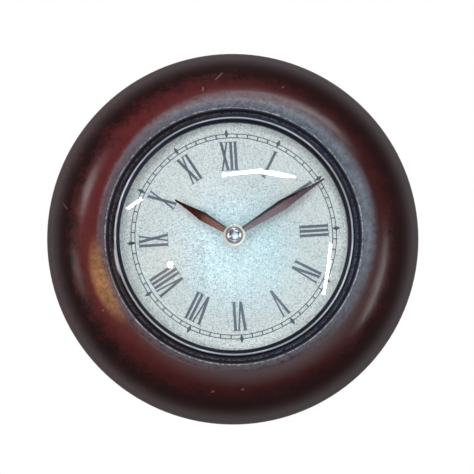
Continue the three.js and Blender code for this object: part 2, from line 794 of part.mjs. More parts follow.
function threadedBushing() {
  const bore = hourTubeRadius + play;
  const flangeLow = movementFront - bushingFlangeThickness;
  const profile = [
    at(bore, innerFront),
    at(threadRadius, innerFront),
    at(threadRadius, flangeLow),
    at(bushingFlangeRadius, flangeLow),
    at(bushingFlangeRadius, movementFront),
    at(threadRadius, movementFront),
    at(threadRadius, dialFace + threadRise),
    at(bore, dialFace + threadRise),
  ];
  return turned(profile, middleRound);
}
place("threaded_bushing", threadedBushing(), brass);

function trainPlate() {
  const outline = roundedOutline(-bayHalf + fit, bayHalf - fit, trainLow + fit, plateHigh, fit);
  pillarSpots.forEach((spot) => outline.holes.push(roundHole(pillarPin + play, spot, smallRound)));
  [axisSpot, thirdSpot, fifthSpot, rotorSpot].forEach((spot) => {
    outline.holes.push(roundHole(arborRadius + play, spot, smallRound));
  });
  outline.holes.push(roundHole(knobArborRadius + play, motionSpot, smallRound));
  return slab(outline, plateLevel, plateTop);
}
place("train_plate", trainPlate(), whitePlastic);

// Going train, from the rotor to the centre wheel
const arborFoot = coverInner + seat;
const rotorTurn = 0;
const fifthTurn = meshedTurn(rotorBearing + Math.PI, rotorTurn, rotorLeaves, fifthTeeth);
const secondTurn = meshedTurn(fifthBearing + Math.PI, fifthTurn, fifthLeaves, secondTeeth);
const thirdTurn = meshedTurn(thirdBearing, secondTurn, secondLeaves, thirdTeeth);
const centreTurn = meshedTurn(thirdBearing + Math.PI, thirdTurn, thirdLeaves, centreTeeth);

const rotorPinion = joined(
  pinion(rotorLeaves, fifthModule, fifthLevel),
  rod(arborRadius, arborFoot, plateTop, smallRound),
);
place("rotor_pinion", rotorPinion, whitePlastic, rotorSpot, rotorTurn);
const magnetLow = statorLevel + statorThickness / 2 - magnetHeight / 2;
const magnetBore = arborRadius + play;
const magnetFoot = magnetLow + pinionOverhang;
const rotorMagnet = ring(magnetBore, magnetRadius, magnetFoot, magnetLow + magnetHeight, middleRound);
place("rotor_magnet", rotorMagnet, magnetGrey, rotorSpot);

const fifthWheel = joined(
  gear(fifthTeeth, fifthModule, fifthLevel),
  pinion(fifthLeaves, secondModule, secondLevel),
  rod(arborRadius, arborFoot, plateTop, smallRound),
);
place("fifth_wheel", fifthWheel, whitePlastic, fifthSpot, fifthTurn);

const secondWheel = joined(
  gear(secondTeeth, secondModule, secondLevel),
  pinion(secondLeaves, thirdModule, thirdLevel),
  rod(arborRadius, arborFoot, minuteHandTop, smallRound),
);
place("second_wheel", secondWheel, whitePlastic, axisSpot, secondTurn);

const thirdWheel = joined(
  gear(thirdTeeth, thirdModule, thirdLevel),
  pinion(thirdLeaves, centreModule, centreLevel),
  rod(arborRadius, arborFoot, innerFront + shellWall / 2 - seat, smallRound),
);
place("third_wheel", thirdWheel, whitePlastic, thirdSpot, thirdTurn);

const centreWheel = gear(centreTeeth, centreModule, centreLevel, wheelThickness, sleeveRadius + play);
place("centre_wheel", centreWheel, whitePlastic, axisSpot, centreTurn);

// Motion work: minute tube with its pinion, motion wheel with the setting knob, hour wheel with its tube
const motionTurn = meshedTurn(motionBearing, minuteTurn, cannonLeaves, motionTeeth);
const hourWheelTurn = meshedTurn(motionBearing + Math.PI, motionTurn, motionLeaves, hourTeeth);

const cannonBore = minuteTubeRadius - tubeWall;
const cannonPinion = cut(
  joined(
    pinion(cannonLeaves, motionModule, motionLevel),
    rod(sleeveRadius, plateTop + seat, motionLevel, middleRound),
    rod(minuteTubeRadius, motionLevel, minuteTubeEnd, middleRound),
  ),
  rod(cannonBore, plateLevel, minuteTubeEnd + overshoot, smallRound),
);
place("cannon_pinion", cannonPinion, brass, axisSpot, minuteTurn);

const knobLow = wallGap - fit - knobThickness;
const motionWheel = joined(
  gear(motionTeeth, motionModule, motionLevel),
  pinion(motionLeaves, hourModule, hourLevel),
  rod(knobArborRadius, knobLow, innerFront + shellWall / 2 - seat, smallRound),
);
place("motion_wheel", motionWheel, whitePlastic, motionSpot, motionTurn);

function settingKnob() {
  const steps = 4 * knobFlutes;
  const rim = Array.from({ length: steps }, (_, i) => {
    const angle = (2 * Math.PI * i) / steps;
    return spotAt(axisSpot, knobRadius + fluteDepth * Math.cos(knobFlutes * angle), angle);
  });
  const shape = new THREE.Shape(rim);
  shape.holes.push(roundHole(knobArborRadius + play, axisSpot, smallRound));
  return slab(shape, knobLow, knobLow + knobThickness);
}
place("setting_knob", settingKnob(), whitePlastic, motionSpot, motionTurn);

const hourTubeEnd = hourHandBase + handThickness + seat;
const hourWheel = cut(
  joined(
    gear(hourTeeth, hourModule, hourLevel),
    rod(hourTubeRadius, hourLevel, hourTubeEnd, middleRound),
  ),
  rod(hourTubeRadius - tubeWall, hourLevel - overshoot, hourTubeEnd + overshoot, middleRound),
);
place("hour_wheel", hourWheel, whitePlastic, axisSpot, hourWheelTurn);

// Step motor: stator round the rotor, core across its legs, bobbin and winding on the core
function stator() {
  const legOuter = legOffset + legWidth / 2;
  const legInner = legOffset - legWidth / 2;
  const low = rotorSpot.y - statorMargin;
  const bridge = rotorSpot.y + statorMargin;
  const high = coilSpot.y + coreWidth / 2;
  const right = [[legOuter, low], [legOuter, high], [legInner, high], [legInner, bridge]];
  const left = right.map(([x, y]) => [-x, y]).reverse();
  const corners = [...right, ...left].map(([x, y]) => new THREE.Vector2(rotorSpot.x + x, y));
  const shape = new THREE.Shape(corners);
  shape.holes.push(roundHole(magnetRadius + airGap, rotorSpot, coilRound));
  return slab(shape, statorLevel, statorTop);
}
place("stator", stator(), steel);

const coreHalf = legOffset + legWidth / 2;
const coreOutline = roundedOutline(-coreHalf, coreHalf, -coreWidth / 2, coreWidth / 2, coreWidth / 4);
place("coil_core", slab(coreOutline, coreLevel, coreLevel + coreThickness), steel, coilSpot);

// Turns a piece made along the hands' axis so that it lies along x at the given place.
function alongX(geometry, x, y, z) {
  return geometry.rotateY(Math.PI / 2).translate(x, y, z);
}
const bobbinBore = Math.hypot(coreWidth, coreThickness) / 2 + play;
const bobbinTube = bobbinBore + bobbinWall;
const bobbinEnd = bobbinLength / 2;
const windingEnd = bobbinEnd - bobbinFlangeThickness;
const bobbinProfile = [
  at(bobbinBore, -bobbinEnd),
  at(bobbinFlange, -bobbinEnd),
  at(bobbinFlange, -windingEnd),
  at(bobbinTube, -windingEnd),
  at(bobbinTube, windingEnd),
  at(bobbinFlange, windingEnd),
  at(bobbinFlange, bobbinEnd),
  at(bobbinBore, bobbinEnd),
];
const bobbin = alongX(turned(bobbinProfile, coilRound), coilSpot.x, coilSpot.y, coilHeight);
place("coil_bobbin", bobbin, whitePlastic);
const windingHalf = windingEnd - play;
const windingRing = ring(bobbinTube + play, bobbinFlange - fit, -windingHalf, windingHalf, coilRound);
place("coil_winding", alongX(windingRing, coilSpot.x, coilSpot.y, coilHeight), copperWire);

// Circuit board with its chip under a drop of resin and the crystal's can
const circuitRight = circuitLeft + boardWidth;
const circuitHigh = circuitLow + boardHeight;
const circuitOutline = roundedOutline(circuitLeft, circuitRight, circuitLow, circuitHigh, circuitCorner);
const circuitBack = statorTop - circuitThickness;
place("circuit_board", slab(circuitOutline, circuitBack, statorTop), circuitGreen);

function controlChip() {
  const top = circuitBack - seat;
  const drop = arc(0, top, chipRadius, chipHeight, -Math.PI / 2, 0, curveSteps);
  drop[0].x = 0;
  return turned([...drop, at(0, top)], smallRound);
}
const chipInset = chipRadius + circuitMargin;
const chipSpot = new THREE.Vector2(circuitRight - chipInset, circuitLow + chipInset);
place("control_chip", controlChip(), blackPlastic, chipSpot);
const crystalCan = rod(crystalRadius, 0, crystalLength, smallRound);
const crystalStart = circuitLeft + circuitMargin;
const crystalHigh = circuitHigh - crystalRadius - circuitMargin;
const crystalLevel = circuitBack - seat - crystalRadius;
place("quartz_crystal", alongX(crystalCan, crystalStart, crystalHigh, crystalLevel), zincSteel);

// Cell with its two contacts
const nubTip = bayHalf - contactThickness - 2 * seat;
const canEnd = nubTip - nubLength;
const canStart = canEnd - cellLength;
const edgeRound = 0.8;
const cellProfile = [
  at(0, canStart),
  at(cellRadius - edgeRound, canStart),
  at(cellRadius, canStart + edgeRound),
  at(cellRadius, canEnd - edgeRound),
  at(cellRadius - edgeRound, canEnd),
  at(nubRadius, canEnd),
  at(nubRadius, nubTip),
  at(0, nubTip),
];
place("battery_cell", alongX(turned(cellProfile, middleRound), 0, cellSpot.y, cellHeight), cellJacket);

// Both contacts are strips bent at the ends of the bay, drawn in x and y and as wide as given along z.
function contact(line) {
  const half = contactWidth / 2;
  return slab(bentStrip(line, contactThickness), cellHeight - half, cellHeight + half);
}
const rightWall = bayHalf - seat - contactThickness / 2;
const positiveLine = [-contactHalf, contactHalf].map((y) => new THREE.Vector2(rightWall, cellSpot.y + y));
place("contact_positive", contact(positiveLine), brass);

const leftWall = -bayHalf + seat + contactThickness / 2;
const springTip = canStart - seat - contactThickness / 2;
const negativeLine = [
  [leftWall, -contactHalf],
  [leftWall, contactHalf],
  [(leftWall + springTip) / 2, contactHalf],
  [springTip, springFlat],
  [springTip, -springFlat],
  [(leftWall + springTip) / 2, -springTail],
].map(([x, y]) => new THREE.Vector2(x, cellSpot.y + y));
place("contact_negative", contact(negativeLine), brass);

export default clock;
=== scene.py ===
"""Round wooden wall clock: finished pieces and studio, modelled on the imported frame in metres."""
from math import acos, cos, hypot, pi, radians, sin, sqrt, tau

import bmesh
import bpy
from mathutils import Matrix, Vector


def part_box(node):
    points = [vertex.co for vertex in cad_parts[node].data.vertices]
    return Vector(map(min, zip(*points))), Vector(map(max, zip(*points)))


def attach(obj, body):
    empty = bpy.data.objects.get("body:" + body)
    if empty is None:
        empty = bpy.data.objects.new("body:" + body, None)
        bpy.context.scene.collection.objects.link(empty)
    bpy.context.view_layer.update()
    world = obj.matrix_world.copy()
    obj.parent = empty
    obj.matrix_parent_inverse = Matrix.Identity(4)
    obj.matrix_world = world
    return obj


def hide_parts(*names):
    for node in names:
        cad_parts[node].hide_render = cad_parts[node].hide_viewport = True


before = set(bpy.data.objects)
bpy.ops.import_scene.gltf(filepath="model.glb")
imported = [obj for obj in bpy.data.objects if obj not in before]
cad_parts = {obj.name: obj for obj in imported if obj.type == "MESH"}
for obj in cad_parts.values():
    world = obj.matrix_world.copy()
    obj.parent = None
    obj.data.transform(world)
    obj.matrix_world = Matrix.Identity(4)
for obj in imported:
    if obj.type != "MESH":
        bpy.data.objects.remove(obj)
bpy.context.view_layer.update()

bl_info = {
    "name": "Wooden Wall Clock",
    "version": (1, 0, 0),
    "blender": (4, 5, 0),
    "location": "3D View > Sidebar > Clock",
    "description": "Models a turned wooden wall clock with a domed glass and a quartz movement",
    "category": "Add Mesh",
}

MM = 0.001
AXIS = Vector((0, 1, 0))
ORIGIN = Vector((0, 0, 0))
TO_FRONT = (pi / 2, 0, 0)

# Gap between pieces that rest on each other
SEAT = 0.15 * MM

# Steps round a turned piece
BEZEL_TURN = 192
FINE_TURN = 144
MEDIUM_TURN = 64
SMALL_TURN = 48
SCREW_TURN = 32

# Radii of the hands' tubes and of the cap's dome
MINUTE_TUBE = 1.55 * MM
HOUR_TUBE = 2.5 * MM
CAP_DOME = 4.6 * MM

# Hanger plate, shared with its recess in the ring
HANGER_CORNER = 8 * MM
SCREW_SPREAD = 17 * MM


def node_reach(node):
    """Largest radius of a node about the hands' axis, and its back and front heights above the wall."""
    low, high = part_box(node)
    return high.x, -high.y, -low.y


case_reach, _, case_front = node_reach("case_ring")
dial_reach, dial_back, dial_face = node_reach("dial_paper")
board_reach, board_back, board_front = node_reach("dial_board")
glass_reach, glass_back, glass_front = node_reach("domed_glass")
bezel_reach, bezel_back, bezel_front = node_reach("bezel")
spacer_reach, spacer_back, spacer_front = node_reach("spacer_ring")
cap_reach, cap_back, cap_front = node_reach("hand_cap")
hanger_low, hanger_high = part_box("hanger_plate")
hanger_middle = (hanger_low + hanger_high) / 2
cell_low, cell_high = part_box("battery_cell")


def length(name, description, default):
    """A size property in metres."""
    return bpy.props.FloatProperty(
        name=name, description=description, default=default, min=0, precision=5, unit="LENGTH"
    )


def colour(name, description, default):
    """A colour property."""
    return bpy.props.FloatVectorProperty(
        name=name, description=description, default=default, min=0, max=1, size=3, subtype="COLOR"
    )


class ClockSizes(bpy.types.PropertyGroup):
    """Sizes of the clock's pieces"""

    widest_height: length("Widest height", "Height above the wall where the ring is widest", 16 * MM)
    foot_inset: length("Foot inset", "How far the ring's back edge draws in", 7.5 * MM)
    crown_radius: length("Crown radius", "Radius of the circle along the top of the ring", 72 * MM)
    lip_radius: length("Lip radius", "Radius of the wood's inner edge", 67.9 * MM)
    lip_rise: length("Lip rise", "Wood's inner edge above the dial", 6.2 * MM)
    lip_ease: length("Lip ease", "How far inside the lip the inner curve would stand upright", 1.6 * MM)
    well_radius: length("Well radius", "Bore of the ring round the glass", 64 * MM)
    ledge_rise: length("Ledge rise", "Ledge for the bezel above the dial", 3.2 * MM)
    crest_radius: length("Crest radius", "Radius of the bezel's bright bead", 62.9 * MM)
    sight_radius: length("Sight radius", "Inner edge of the bezel", 60.7 * MM)
    glass_thickness: length("Glass thickness", "Thickness of the domed glass", 1.8 * MM)
    minute_length: length("Minute hand", "Length of the minute hand", 57 * MM)
    minute_width: length("Minute hand width", "Greatest width of the minute hand", 5.9 * MM)
    hour_length: length("Hour hand", "Length of the hour hand", 36.6 * MM)
    hour_width: length("Hour hand width", "Greatest width of the hour hand", 5 * MM)
    numeral_foot: length("Numeral foot", "Distance of the numerals' feet from the axis", 35.2 * MM)
    numeral_head: length("Numeral head", "Distance of the numerals' heads from the axis", 50.7 * MM)
    track_inner: length("Track inner line", "Radius of the minute track's inner line", 52.85 * MM)
    track_outer: length("Track outer line", "Radius of the minute track's outer line", 54.9 * MM)


class ClockColours(bpy.types.PropertyGroup):
    """Colours of the clock's finishes"""

    wood: colour("Wood", "Lacquered wood, in the light", (0.088, 0.0145, 0.0155))
    wood_dark: colour("Dark wood", "Lacquered wood, stained dark", (0.018, 0.006, 0.006))
    # The dust colour is partly dust and partly a painted bluish sheen.
    dust: colour("Dust", "Dusty bloom along the wood's inner edge", (0.245, 0.32, 0.4))
    # The bare colour is partly bare wood and partly a painted warm reflection.
    bare: colour("Bare wood", "Wood where the stain has worn thin", (0.52, 0.26, 0.1))
    worn: colour("Worn edge", "Wood where the lacquer has rubbed off", (0.75, 0.75, 0.7))
    bezel: colour("Bezel", "Dark polished metal", (0.21, 0.185, 0.21))
    # The middle colour is a painted cool pool of light, and the rim colour carries painted light that
    # offsets the bezel's shade.
    paper: colour("Dial paper", "Dial in the middle", (0.46, 0.605, 0.66))
    paper_rim: colour("Dial rim", "Dial towards the rim", (0.595, 0.62, 0.615))
    ink: colour("Ink", "Printed numerals and track", (0.075, 0.095, 0.125))
    # The brown and copper tones are one plating with painted reflections: dim on the minute hand and warm
    # on the hour hand.
    brown: colour("Brown", "Antique plating of the minute hand", (0.2, 0.12, 0.14))
    copper: colour("Copper", "Antique plating of the hour hand", (0.34, 0.12, 0.09))


def sizes():
    """The clock's sizes as they are set now."""
    return bpy.context.scene.clock_sizes


def colours():
    """The clock's colours as they are set now."""
    return bpy.context.scene.clock_colours


# Modelling helpers


def clear_selection():
    """Leaves edit mode and deselects everything."""
    if bpy.context.mode != "OBJECT":
        bpy.ops.object.mode_set(mode="OBJECT")
    bpy.ops.object.select_all(action="DESELECT")


def activate(piece):
    """Makes a piece the only selected and the active object."""
    clear_selection()
    piece.select_set(True)
    bpy.context.view_layer.objects.active = piece


def apply_place(piece):
    """Moves a piece's place, turn and scale into its mesh."""
    activate(piece)
    bpy.ops.object.transform_apply(location=True, rotation=True, scale=True)


def finish_piece(piece, name, body, finish, replaces=(), smooth=35):
    """Names a piece, shades it, gives it its finish and fixes it to its body."""
    apply_place(piece)
    piece.name = name
    piece.data.name = name
    bpy.ops.object.shade_smooth_by_angle(angle=radians(smooth))
    piece.data.materials.clear()
    piece.data.materials.append(finish)
    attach(piece, body)
    if replaces:
        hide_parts(*replaces)
    return piece


def arc(middle, spans, start, end, steps):
    """Points of radius and height along part of an ellipse, with both ends."""
    angles = [start + (end - start) * i / steps for i in range(steps + 1)]
    return [(middle[0] + spans[0] * cos(a), middle[1] + spans[1] * sin(a)) for a in angles]


def turn_on_lathe(profile, steps=FINE_TURN):
    """Draws a profile of radius and height above the wall, and spins it about the hands' axis."""
    clear_selection()
    points = [Vector((radius, -height, 0)) for radius, height in profile]
    bpy.ops.mesh.primitive_plane_add(size=MM, enter_editmode=True, location=points[0])
    bpy.ops.mesh.merge(type="CENTER")
    for before, after in zip(points, points[1:]):
        bpy.ops.mesh.extrude_vertices_move(TRANSFORM_OT_translate={"value": after - before})
    bpy.ops.mesh.select_all(action="SELECT")
    bpy.ops.mesh.spin(steps=steps, angle=tau, center=ORIGIN, axis=AXIS)
    bpy.ops.mesh.select_all(action="SELECT")
    bpy.ops.mesh.remove_doubles(threshold=MM / 1000)
    bpy.ops.mesh.normals_make_consistent(inside=False)
    bpy.ops.object.mode_set(mode="OBJECT")
    piece = bpy.context.object
    apply_place(piece)
    return piece


def closed(profile):
    """A profile that ends where it starts."""
    return [*profile, profile[0]]


def select_points(piece, wanted):
    """In edit mode, selects the points that pass the test, and the faces and edges between them."""
    mesh = bmesh.from_edit_mesh(piece.data)
    for point in mesh.verts:
        point.select = wanted(point)
    mesh.select_flush_mode()
    mesh.select_flush(True)
    bmesh.update_edit_mesh(piece.data)


def select_edges(piece, wanted):
    """In edit mode, selects the edges whose two ends pass the test."""
    mesh = bmesh.from_edit_mesh(piece.data)
    for face in mesh.faces:
        face.select = False
    for edge in mesh.edges:
        edge.select = wanted(*(point.co for point in edge.verts))
    bmesh.update_edit_mesh(piece.data)


def add_block(low, high):
    """A block between two corners."""
    clear_selection()
    low, high = Vector(low), Vector(high)
    bpy.ops.mesh.primitive_cube_add(size=1, location=(low + high) / 2)
    piece = bpy.context.object
    piece.scale = high - low
    apply_place(piece)
    return piece


def add_rounded_block(low, high, corner, segments=8):
    """A block whose edges along the hands' axis are rounded."""
    piece = add_block(low, high)
    bpy.ops.object.mode_set(mode="EDIT")
    bpy.ops.mesh.select_mode(type="EDGE")
    select_edges(piece, lambda a, b: abs((a - b).normalized().y) > 0.99)
    bpy.ops.mesh.bevel(offset=corner, segments=segments, affect="EDGES", clamp_overlap=False)
    bpy.ops.mesh.select_mode(type="VERT")
    bpy.ops.object.mode_set(mode="OBJECT")
    return piece


def add_post(spot, radius, back, front, steps=SMALL_TURN):
    """A cylinder along the hands' axis between two heights above the wall."""
    clear_selection()
    middle = Vector((spot[0], -(back + front) / 2, spot[1]))
    bpy.ops.mesh.primitive_cylinder_add(
        vertices=steps, radius=radius, depth=front - back, location=middle, rotation=TO_FRONT
    )
    piece = bpy.context.object
    apply_place(piece)
    return piece


def use_modifier(piece, kind, **settings):
    """Adds a modifier with these settings and applies it."""
    activate(piece)
    modifier = piece.modifiers.new(kind.title(), kind)
    for name, value in settings.items():
        setattr(modifier, name, value)
    bpy.ops.object.modifier_apply(modifier=modifier.name)


def carve(piece, *cutters):
    """Cuts pieces out of a piece and removes them."""
    for cutter in cutters:
        use_modifier(piece, "BOOLEAN", object=cutter, operation="DIFFERENCE", solver="EXACT")
        bpy.data.objects.remove(cutter)


def soften(piece, width, segments=2, angle=40):
    """Rounds the edges that are sharper than the angle."""
    use_modifier(
        piece, "BEVEL", width=width, segments=segments, limit_method="ANGLE", angle_limit=radians(angle),
        use_clamp_overlap=True,
    )


def join(pieces):
    """Joins pieces into the first one."""
    activate(pieces[0])
    for piece in pieces[1:]:
        piece.select_set(True)
    bpy.ops.object.join()
    return pieces[0]


def copy_to(piece, offset):
    """A copy of a piece with its own mesh, moved by the offset."""
    activate(piece)
    bpy.ops.object.duplicate()
    twin = bpy.context.object
    twin.data = twin.data.copy()
    twin.location += Vector(offset)
    apply_place(twin)
    return twin


# Finishes


class Wire:
    """A value on its way through a finish. Arithmetic on it adds Math nodes."""

    def __init__(self, finish, socket):
        self.finish = finish
        self.socket = socket

    def math(self, operation, *values):
        """A Math node with these inputs."""
        return self.finish.add("ShaderNodeMath", {"operation": operation}, dict(enumerate(values)))

    def __add__(self, other):
        return self.math("ADD", self, other)

    __radd__ = __add__

    def __sub__(self, other):
        return self.math("SUBTRACT", self, other)

    def __rsub__(self, other):
        return self.math("SUBTRACT", other, self)

    def __mul__(self, other):
        return self.math("MULTIPLY", self, other)

    __rmul__ = __mul__

    def __truediv__(self, other):
        return self.math("DIVIDE", self, other)

    def __pow__(self, other):
        return self.math("POWER", self, other)

    def sine(self):
        return self.math("SINE", self)

    def ease(self, low, high):
        """0 below low, 1 above high and smooth between them, also where low is above high."""
        return self.finish.add(
            "ShaderNodeMapRange", {"interpolation_type": "SMOOTHSTEP"},
            {"Value": self, "From Min": low, "From Max": high},
        )


class Finish:
    """A material, or the world, while its nodes are being joined up."""

    def __init__(self, name, owner=None):
        self.owner = owner or bpy.data.materials.new(name)
        self.owner.use_nodes = True
        self.tree = self.owner.node_tree
        self.tree.nodes.clear()
        self.place = self.add("ShaderNodeTexCoord", {}, {}, output="Generated" if owner else "Object")

    def add(self, kind, settings, inputs, output=0):
        """Adds a node, sets it up, feeds its sockets and gives one of its outputs."""
        node = self.tree.nodes.new(kind)
        for name, value in settings.items():
            if name == "stops":
                self.set_stops(node.color_ramp, value)
            else:
                setattr(node, name, value)
        for key, value in inputs.items():
            if isinstance(value, Wire):
                self.tree.links.new(value.socket, node.inputs[key])
            else:
                node.inputs[key].default_value = value
        return Wire(self, node.outputs[output]) if node.outputs else None

    @staticmethod
    def set_stops(ramp, stops):
        """Sets the places and colours of a colour ramp."""
        while len(ramp.elements) < len(stops):
            ramp.elements.new(1)
        for element, (place, value) in zip(ramp.elements, stops):
            element.position = place
            element.color = (*value, 1)

    def stretched(self, x=1, y=1, z=1):
        """The piece's own coordinates, with each direction multiplied."""
        return self.add("ShaderNodeMapping", {}, {"Vector": self.place, "Scale": (x, y, z)})

    def noise(self, scale, detail=3, roughness=0.55, vector=None):
        """Cloudy noise in the piece's own coordinates, or in those given."""
        inputs = {"Vector": vector or self.place, "Scale": scale, "Detail": detail, "Roughness": roughness}
        return self.add("ShaderNodeTexNoise", {}, inputs)

    def axes(self):
        """The three parts of the piece's own coordinates."""
        split = self.add("ShaderNodeSeparateXYZ", {}, {"Vector": self.place})
        outputs = split.socket.node.outputs
        return [Wire(self, socket) for socket in outputs]

    def radius(self):
        """Distance from the hands' axis."""
        x, _, z = self.axes()
        return (x * x + z * z) ** 0.5

    def mix(self, share, first, second):
        """A colour between two colours."""
        colours_in = {6: self.full(first), 7: self.full(second)}
        return self.add("ShaderNodeMix", {"data_type": "RGBA"}, {0: share, **colours_in}, output=2)

    @staticmethod
    def full(value):
        """A colour with its alpha, or a wire as it is."""
        return value if isinstance(value, Wire) else (*value[:3], 1)

    def bump(self, height, strength, depth):
        """A normal from a height."""
        inputs = {"Height": height, "Strength": strength, "Distance": depth}
        return self.add("ShaderNodeBump", {}, inputs, output="Normal")

    def surface(self, **inputs):
        """A Principled shader. An underscore in a socket's name stands for a space."""
        sockets = {}
        for name, value in inputs.items():
            key = name.replace("_", " ")
            sockets[key] = self.full(value) if key == "Base Color" else value
        return self.add("ShaderNodeBsdfPrincipled", {}, sockets)

    def rays(self, *kinds):
        """1 for rays of these kinds, 0 for the others."""
        outputs = self.add("ShaderNodeLightPath", {}, {}).socket.node.outputs
        return sum(Wire(self, outputs[f"Is {kind} Ray"]) for kind in kinds)

    def done(self, shader):
        """Joins the shader to the output and gives the material."""
        self.add("ShaderNodeOutputMaterial", {}, {"Surface": shader})
        return self.owner


# Nicks in the lacquer and strokes wiped through its dust: millimetres right and up of the axis, lean in
# degrees, half length and half width
NICKS = (
    (-1.9, 84.9, 44, 3.4, 0.4),
    (-10.8, 78.3, 80, 1.5, 0.6),
    (31.7, 76.5, 35, 0.9, 0.5),
    (-17.4, -80.6, 20, 1.1, 0.5),
    (-1.9, -80.7, 5, 1.0, 0.45),
    (-88.0, 22.0, 120, 2.6, 0.22),
    (-71.1, -34.4, 60, 0.8, 0.45),
)
WIPED = (
    (21.5, 69.8, -52, 3.2, 0.45),
    (-9.6, 71.0, -20, 3.4, 0.4),
    (8.0, 70.2, 35, 1.6, 0.5),
)


def shaded(tone, share):
    """A colour made darker or lighter."""
    return tuple(share * part for part in tone)


def streak(finish, x, z, across, up, lean, half_length, half_width):
    """1 along a short ragged stroke and 0 beyond it."""
    c, s = cos(radians(lean)), sin(radians(lean))
    dx, dz = x - across * MM, z - up * MM
    run = (dx * c + dz * s) / (half_length * MM)
    side = (dz * c - dx * s) / (half_width * MM)
    ragged = finish.noise(900, 2) * 0.8
    return (run * run + side * side + ragged).ease(1.5, 0.8)


def lacquered_wood():
    """Dark red-brown lacquer, darker outwards, with painted light towards the upper left, nicks, a bare
    patch partly carrying a painted warm reflection, and a rubbed, dusty inner edge with a painted sheen
    and highlight.
    """
    finish = Finish("lacquered_wood")
    s, c = sizes(), colours()
    # The pale grey is a painted highlight in the dust near the top.
    painted_highlight_grey, nicked = (0.42, 0.45, 0.48), (0.42, 0.22, 0.18)
    patch_radius, patch_length, patch_width = 73 * MM, 27 * MM, 6.4 * MM
    least_dust, more_dust = 4 * MM, 4.1 * MM
    lip_top = dial_face + s.lip_rise

    x, y, z = finish.axes()
    radius = finish.radius()
    from_lip = radius - s.lip_radius
    front = (y * -1).ease(16 * MM, 24 * MM)
    top = (y * -1).ease(lip_top - 0.3 * MM, lip_top)
    figure = finish.noise(30, 4, 0.6, finish.stretched(0.35, 1, 3))
    mottle = finish.noise(140, 5, 0.65)
    speck = finish.noise(420, 5, 0.75).ease(0.3, 0.7)
    pores = finish.noise(900, 3, 0.6, finish.stretched(0.25, 1, 1))

    # Stain, redder inside the crown; lighter towards the upper left and darker towards the lower right as
    # painted light and shade
    crown = radius.ease(s.crown_radius + 19 * MM, s.crown_radius + 3 * MM)
    rim = radius.ease(case_reach - 11 * MM, case_reach - 3 * MM) * 0.2
    uneven = (figure - 0.5) * 0.8 + (mottle - 0.5) * 0.9 + (speck - 0.5) * 0.4
    painted_light_side = (z * 0.5 - x).ease(-35 * MM, 90 * MM)
    side_lit_wood = finish.mix(painted_light_side, shaded(c.wood, 0.55), shaded(c.wood, 1.35))
    tone = finish.mix((crown + rim + uneven).ease(-0.05, 1.05), c.wood_dark, side_lit_wood)

    # Bare patch on the left, its golden colour partly bare wood and partly a painted warm reflection
    along = (z * 0.95 - x * 0.31 - 3 * MM) / patch_length
    across = (radius - patch_radius) / patch_width
    bare_patch_and_glint = (1 - along * along - across * across).ease(0, 1.3) * x.ease(0, -20 * MM) * front
    tone = finish.mix(bare_patch_and_glint * (0.05 + 0.65 * mottle + 0.6 * speck), tone, c.bare)

    # Dust with a painted sheen, widest towards the upper right and brightest at the top, where a painted
    # highlight band lies in it; the lip's wall takes some of the dust colour
    dust_sheen_side = (z * 0.78 + x * 0.62).ease(-60 * MM, 75 * MM)
    inside = (from_lip / (least_dust + more_dust * dust_sheen_side)).ease(1.2, 0.1) * top
    wiped = sum(streak(finish, x, z, *place) for place in WIPED)
    grit = finish.noise(700, 3, 0.7).ease(0.52, 0.62) * from_lip.ease(4 * MM, 0.5 * MM)
    left_on = (1 - 0.5 * bare_patch_and_glint - 0.4 * wiped) * (1 - 0.6 * grit)
    dust_and_sheen = inside * (0.1 + 0.5 * speck + 0.6 * mottle) * (0.42 + 0.62 * dust_sheen_side) * left_on
    groove = from_lip.ease(0.8 * MM, 0.3 * MM) * (1 - top) * 0.55
    # Painted highlight: a pale grey band in the dust near the top, where a strip lamp's reflection falls.
    thick = from_lip.ease(1.5 * MM, 4.5 * MM) * from_lip.ease(9 * MM, 6 * MM) * z.ease(48 * MM, 68 * MM)
    tone = finish.mix(dust_and_sheen + groove, tone, finish.mix(thick * 0.7, c.dust, painted_highlight_grey))

    # Wear
    edge = from_lip.ease(1.2 * MM, 0.2 * MM) * top
    rubbed = (finish.noise(600, 4, 0.7) + edge * 0.3).ease(0.73, 0.84) * edge
    nicks = sum(streak(finish, x, z, *place) for place in NICKS) * front
    tone = finish.mix(nicks * 0.38, finish.mix(rubbed, tone, c.worn), nicked)
    height = pores * 0.5 + speck * 0.4 - nicks * 1.5 - rubbed
    shader = finish.surface(
        Base_Color=tone, Roughness=0.17 + 0.1 * mottle + 0.3 * rubbed + 0.5 * dust_and_sheen,
        Normal=finish.bump(height, 0.3, 0.1 * MM),
    )
    return finish.done(shader)


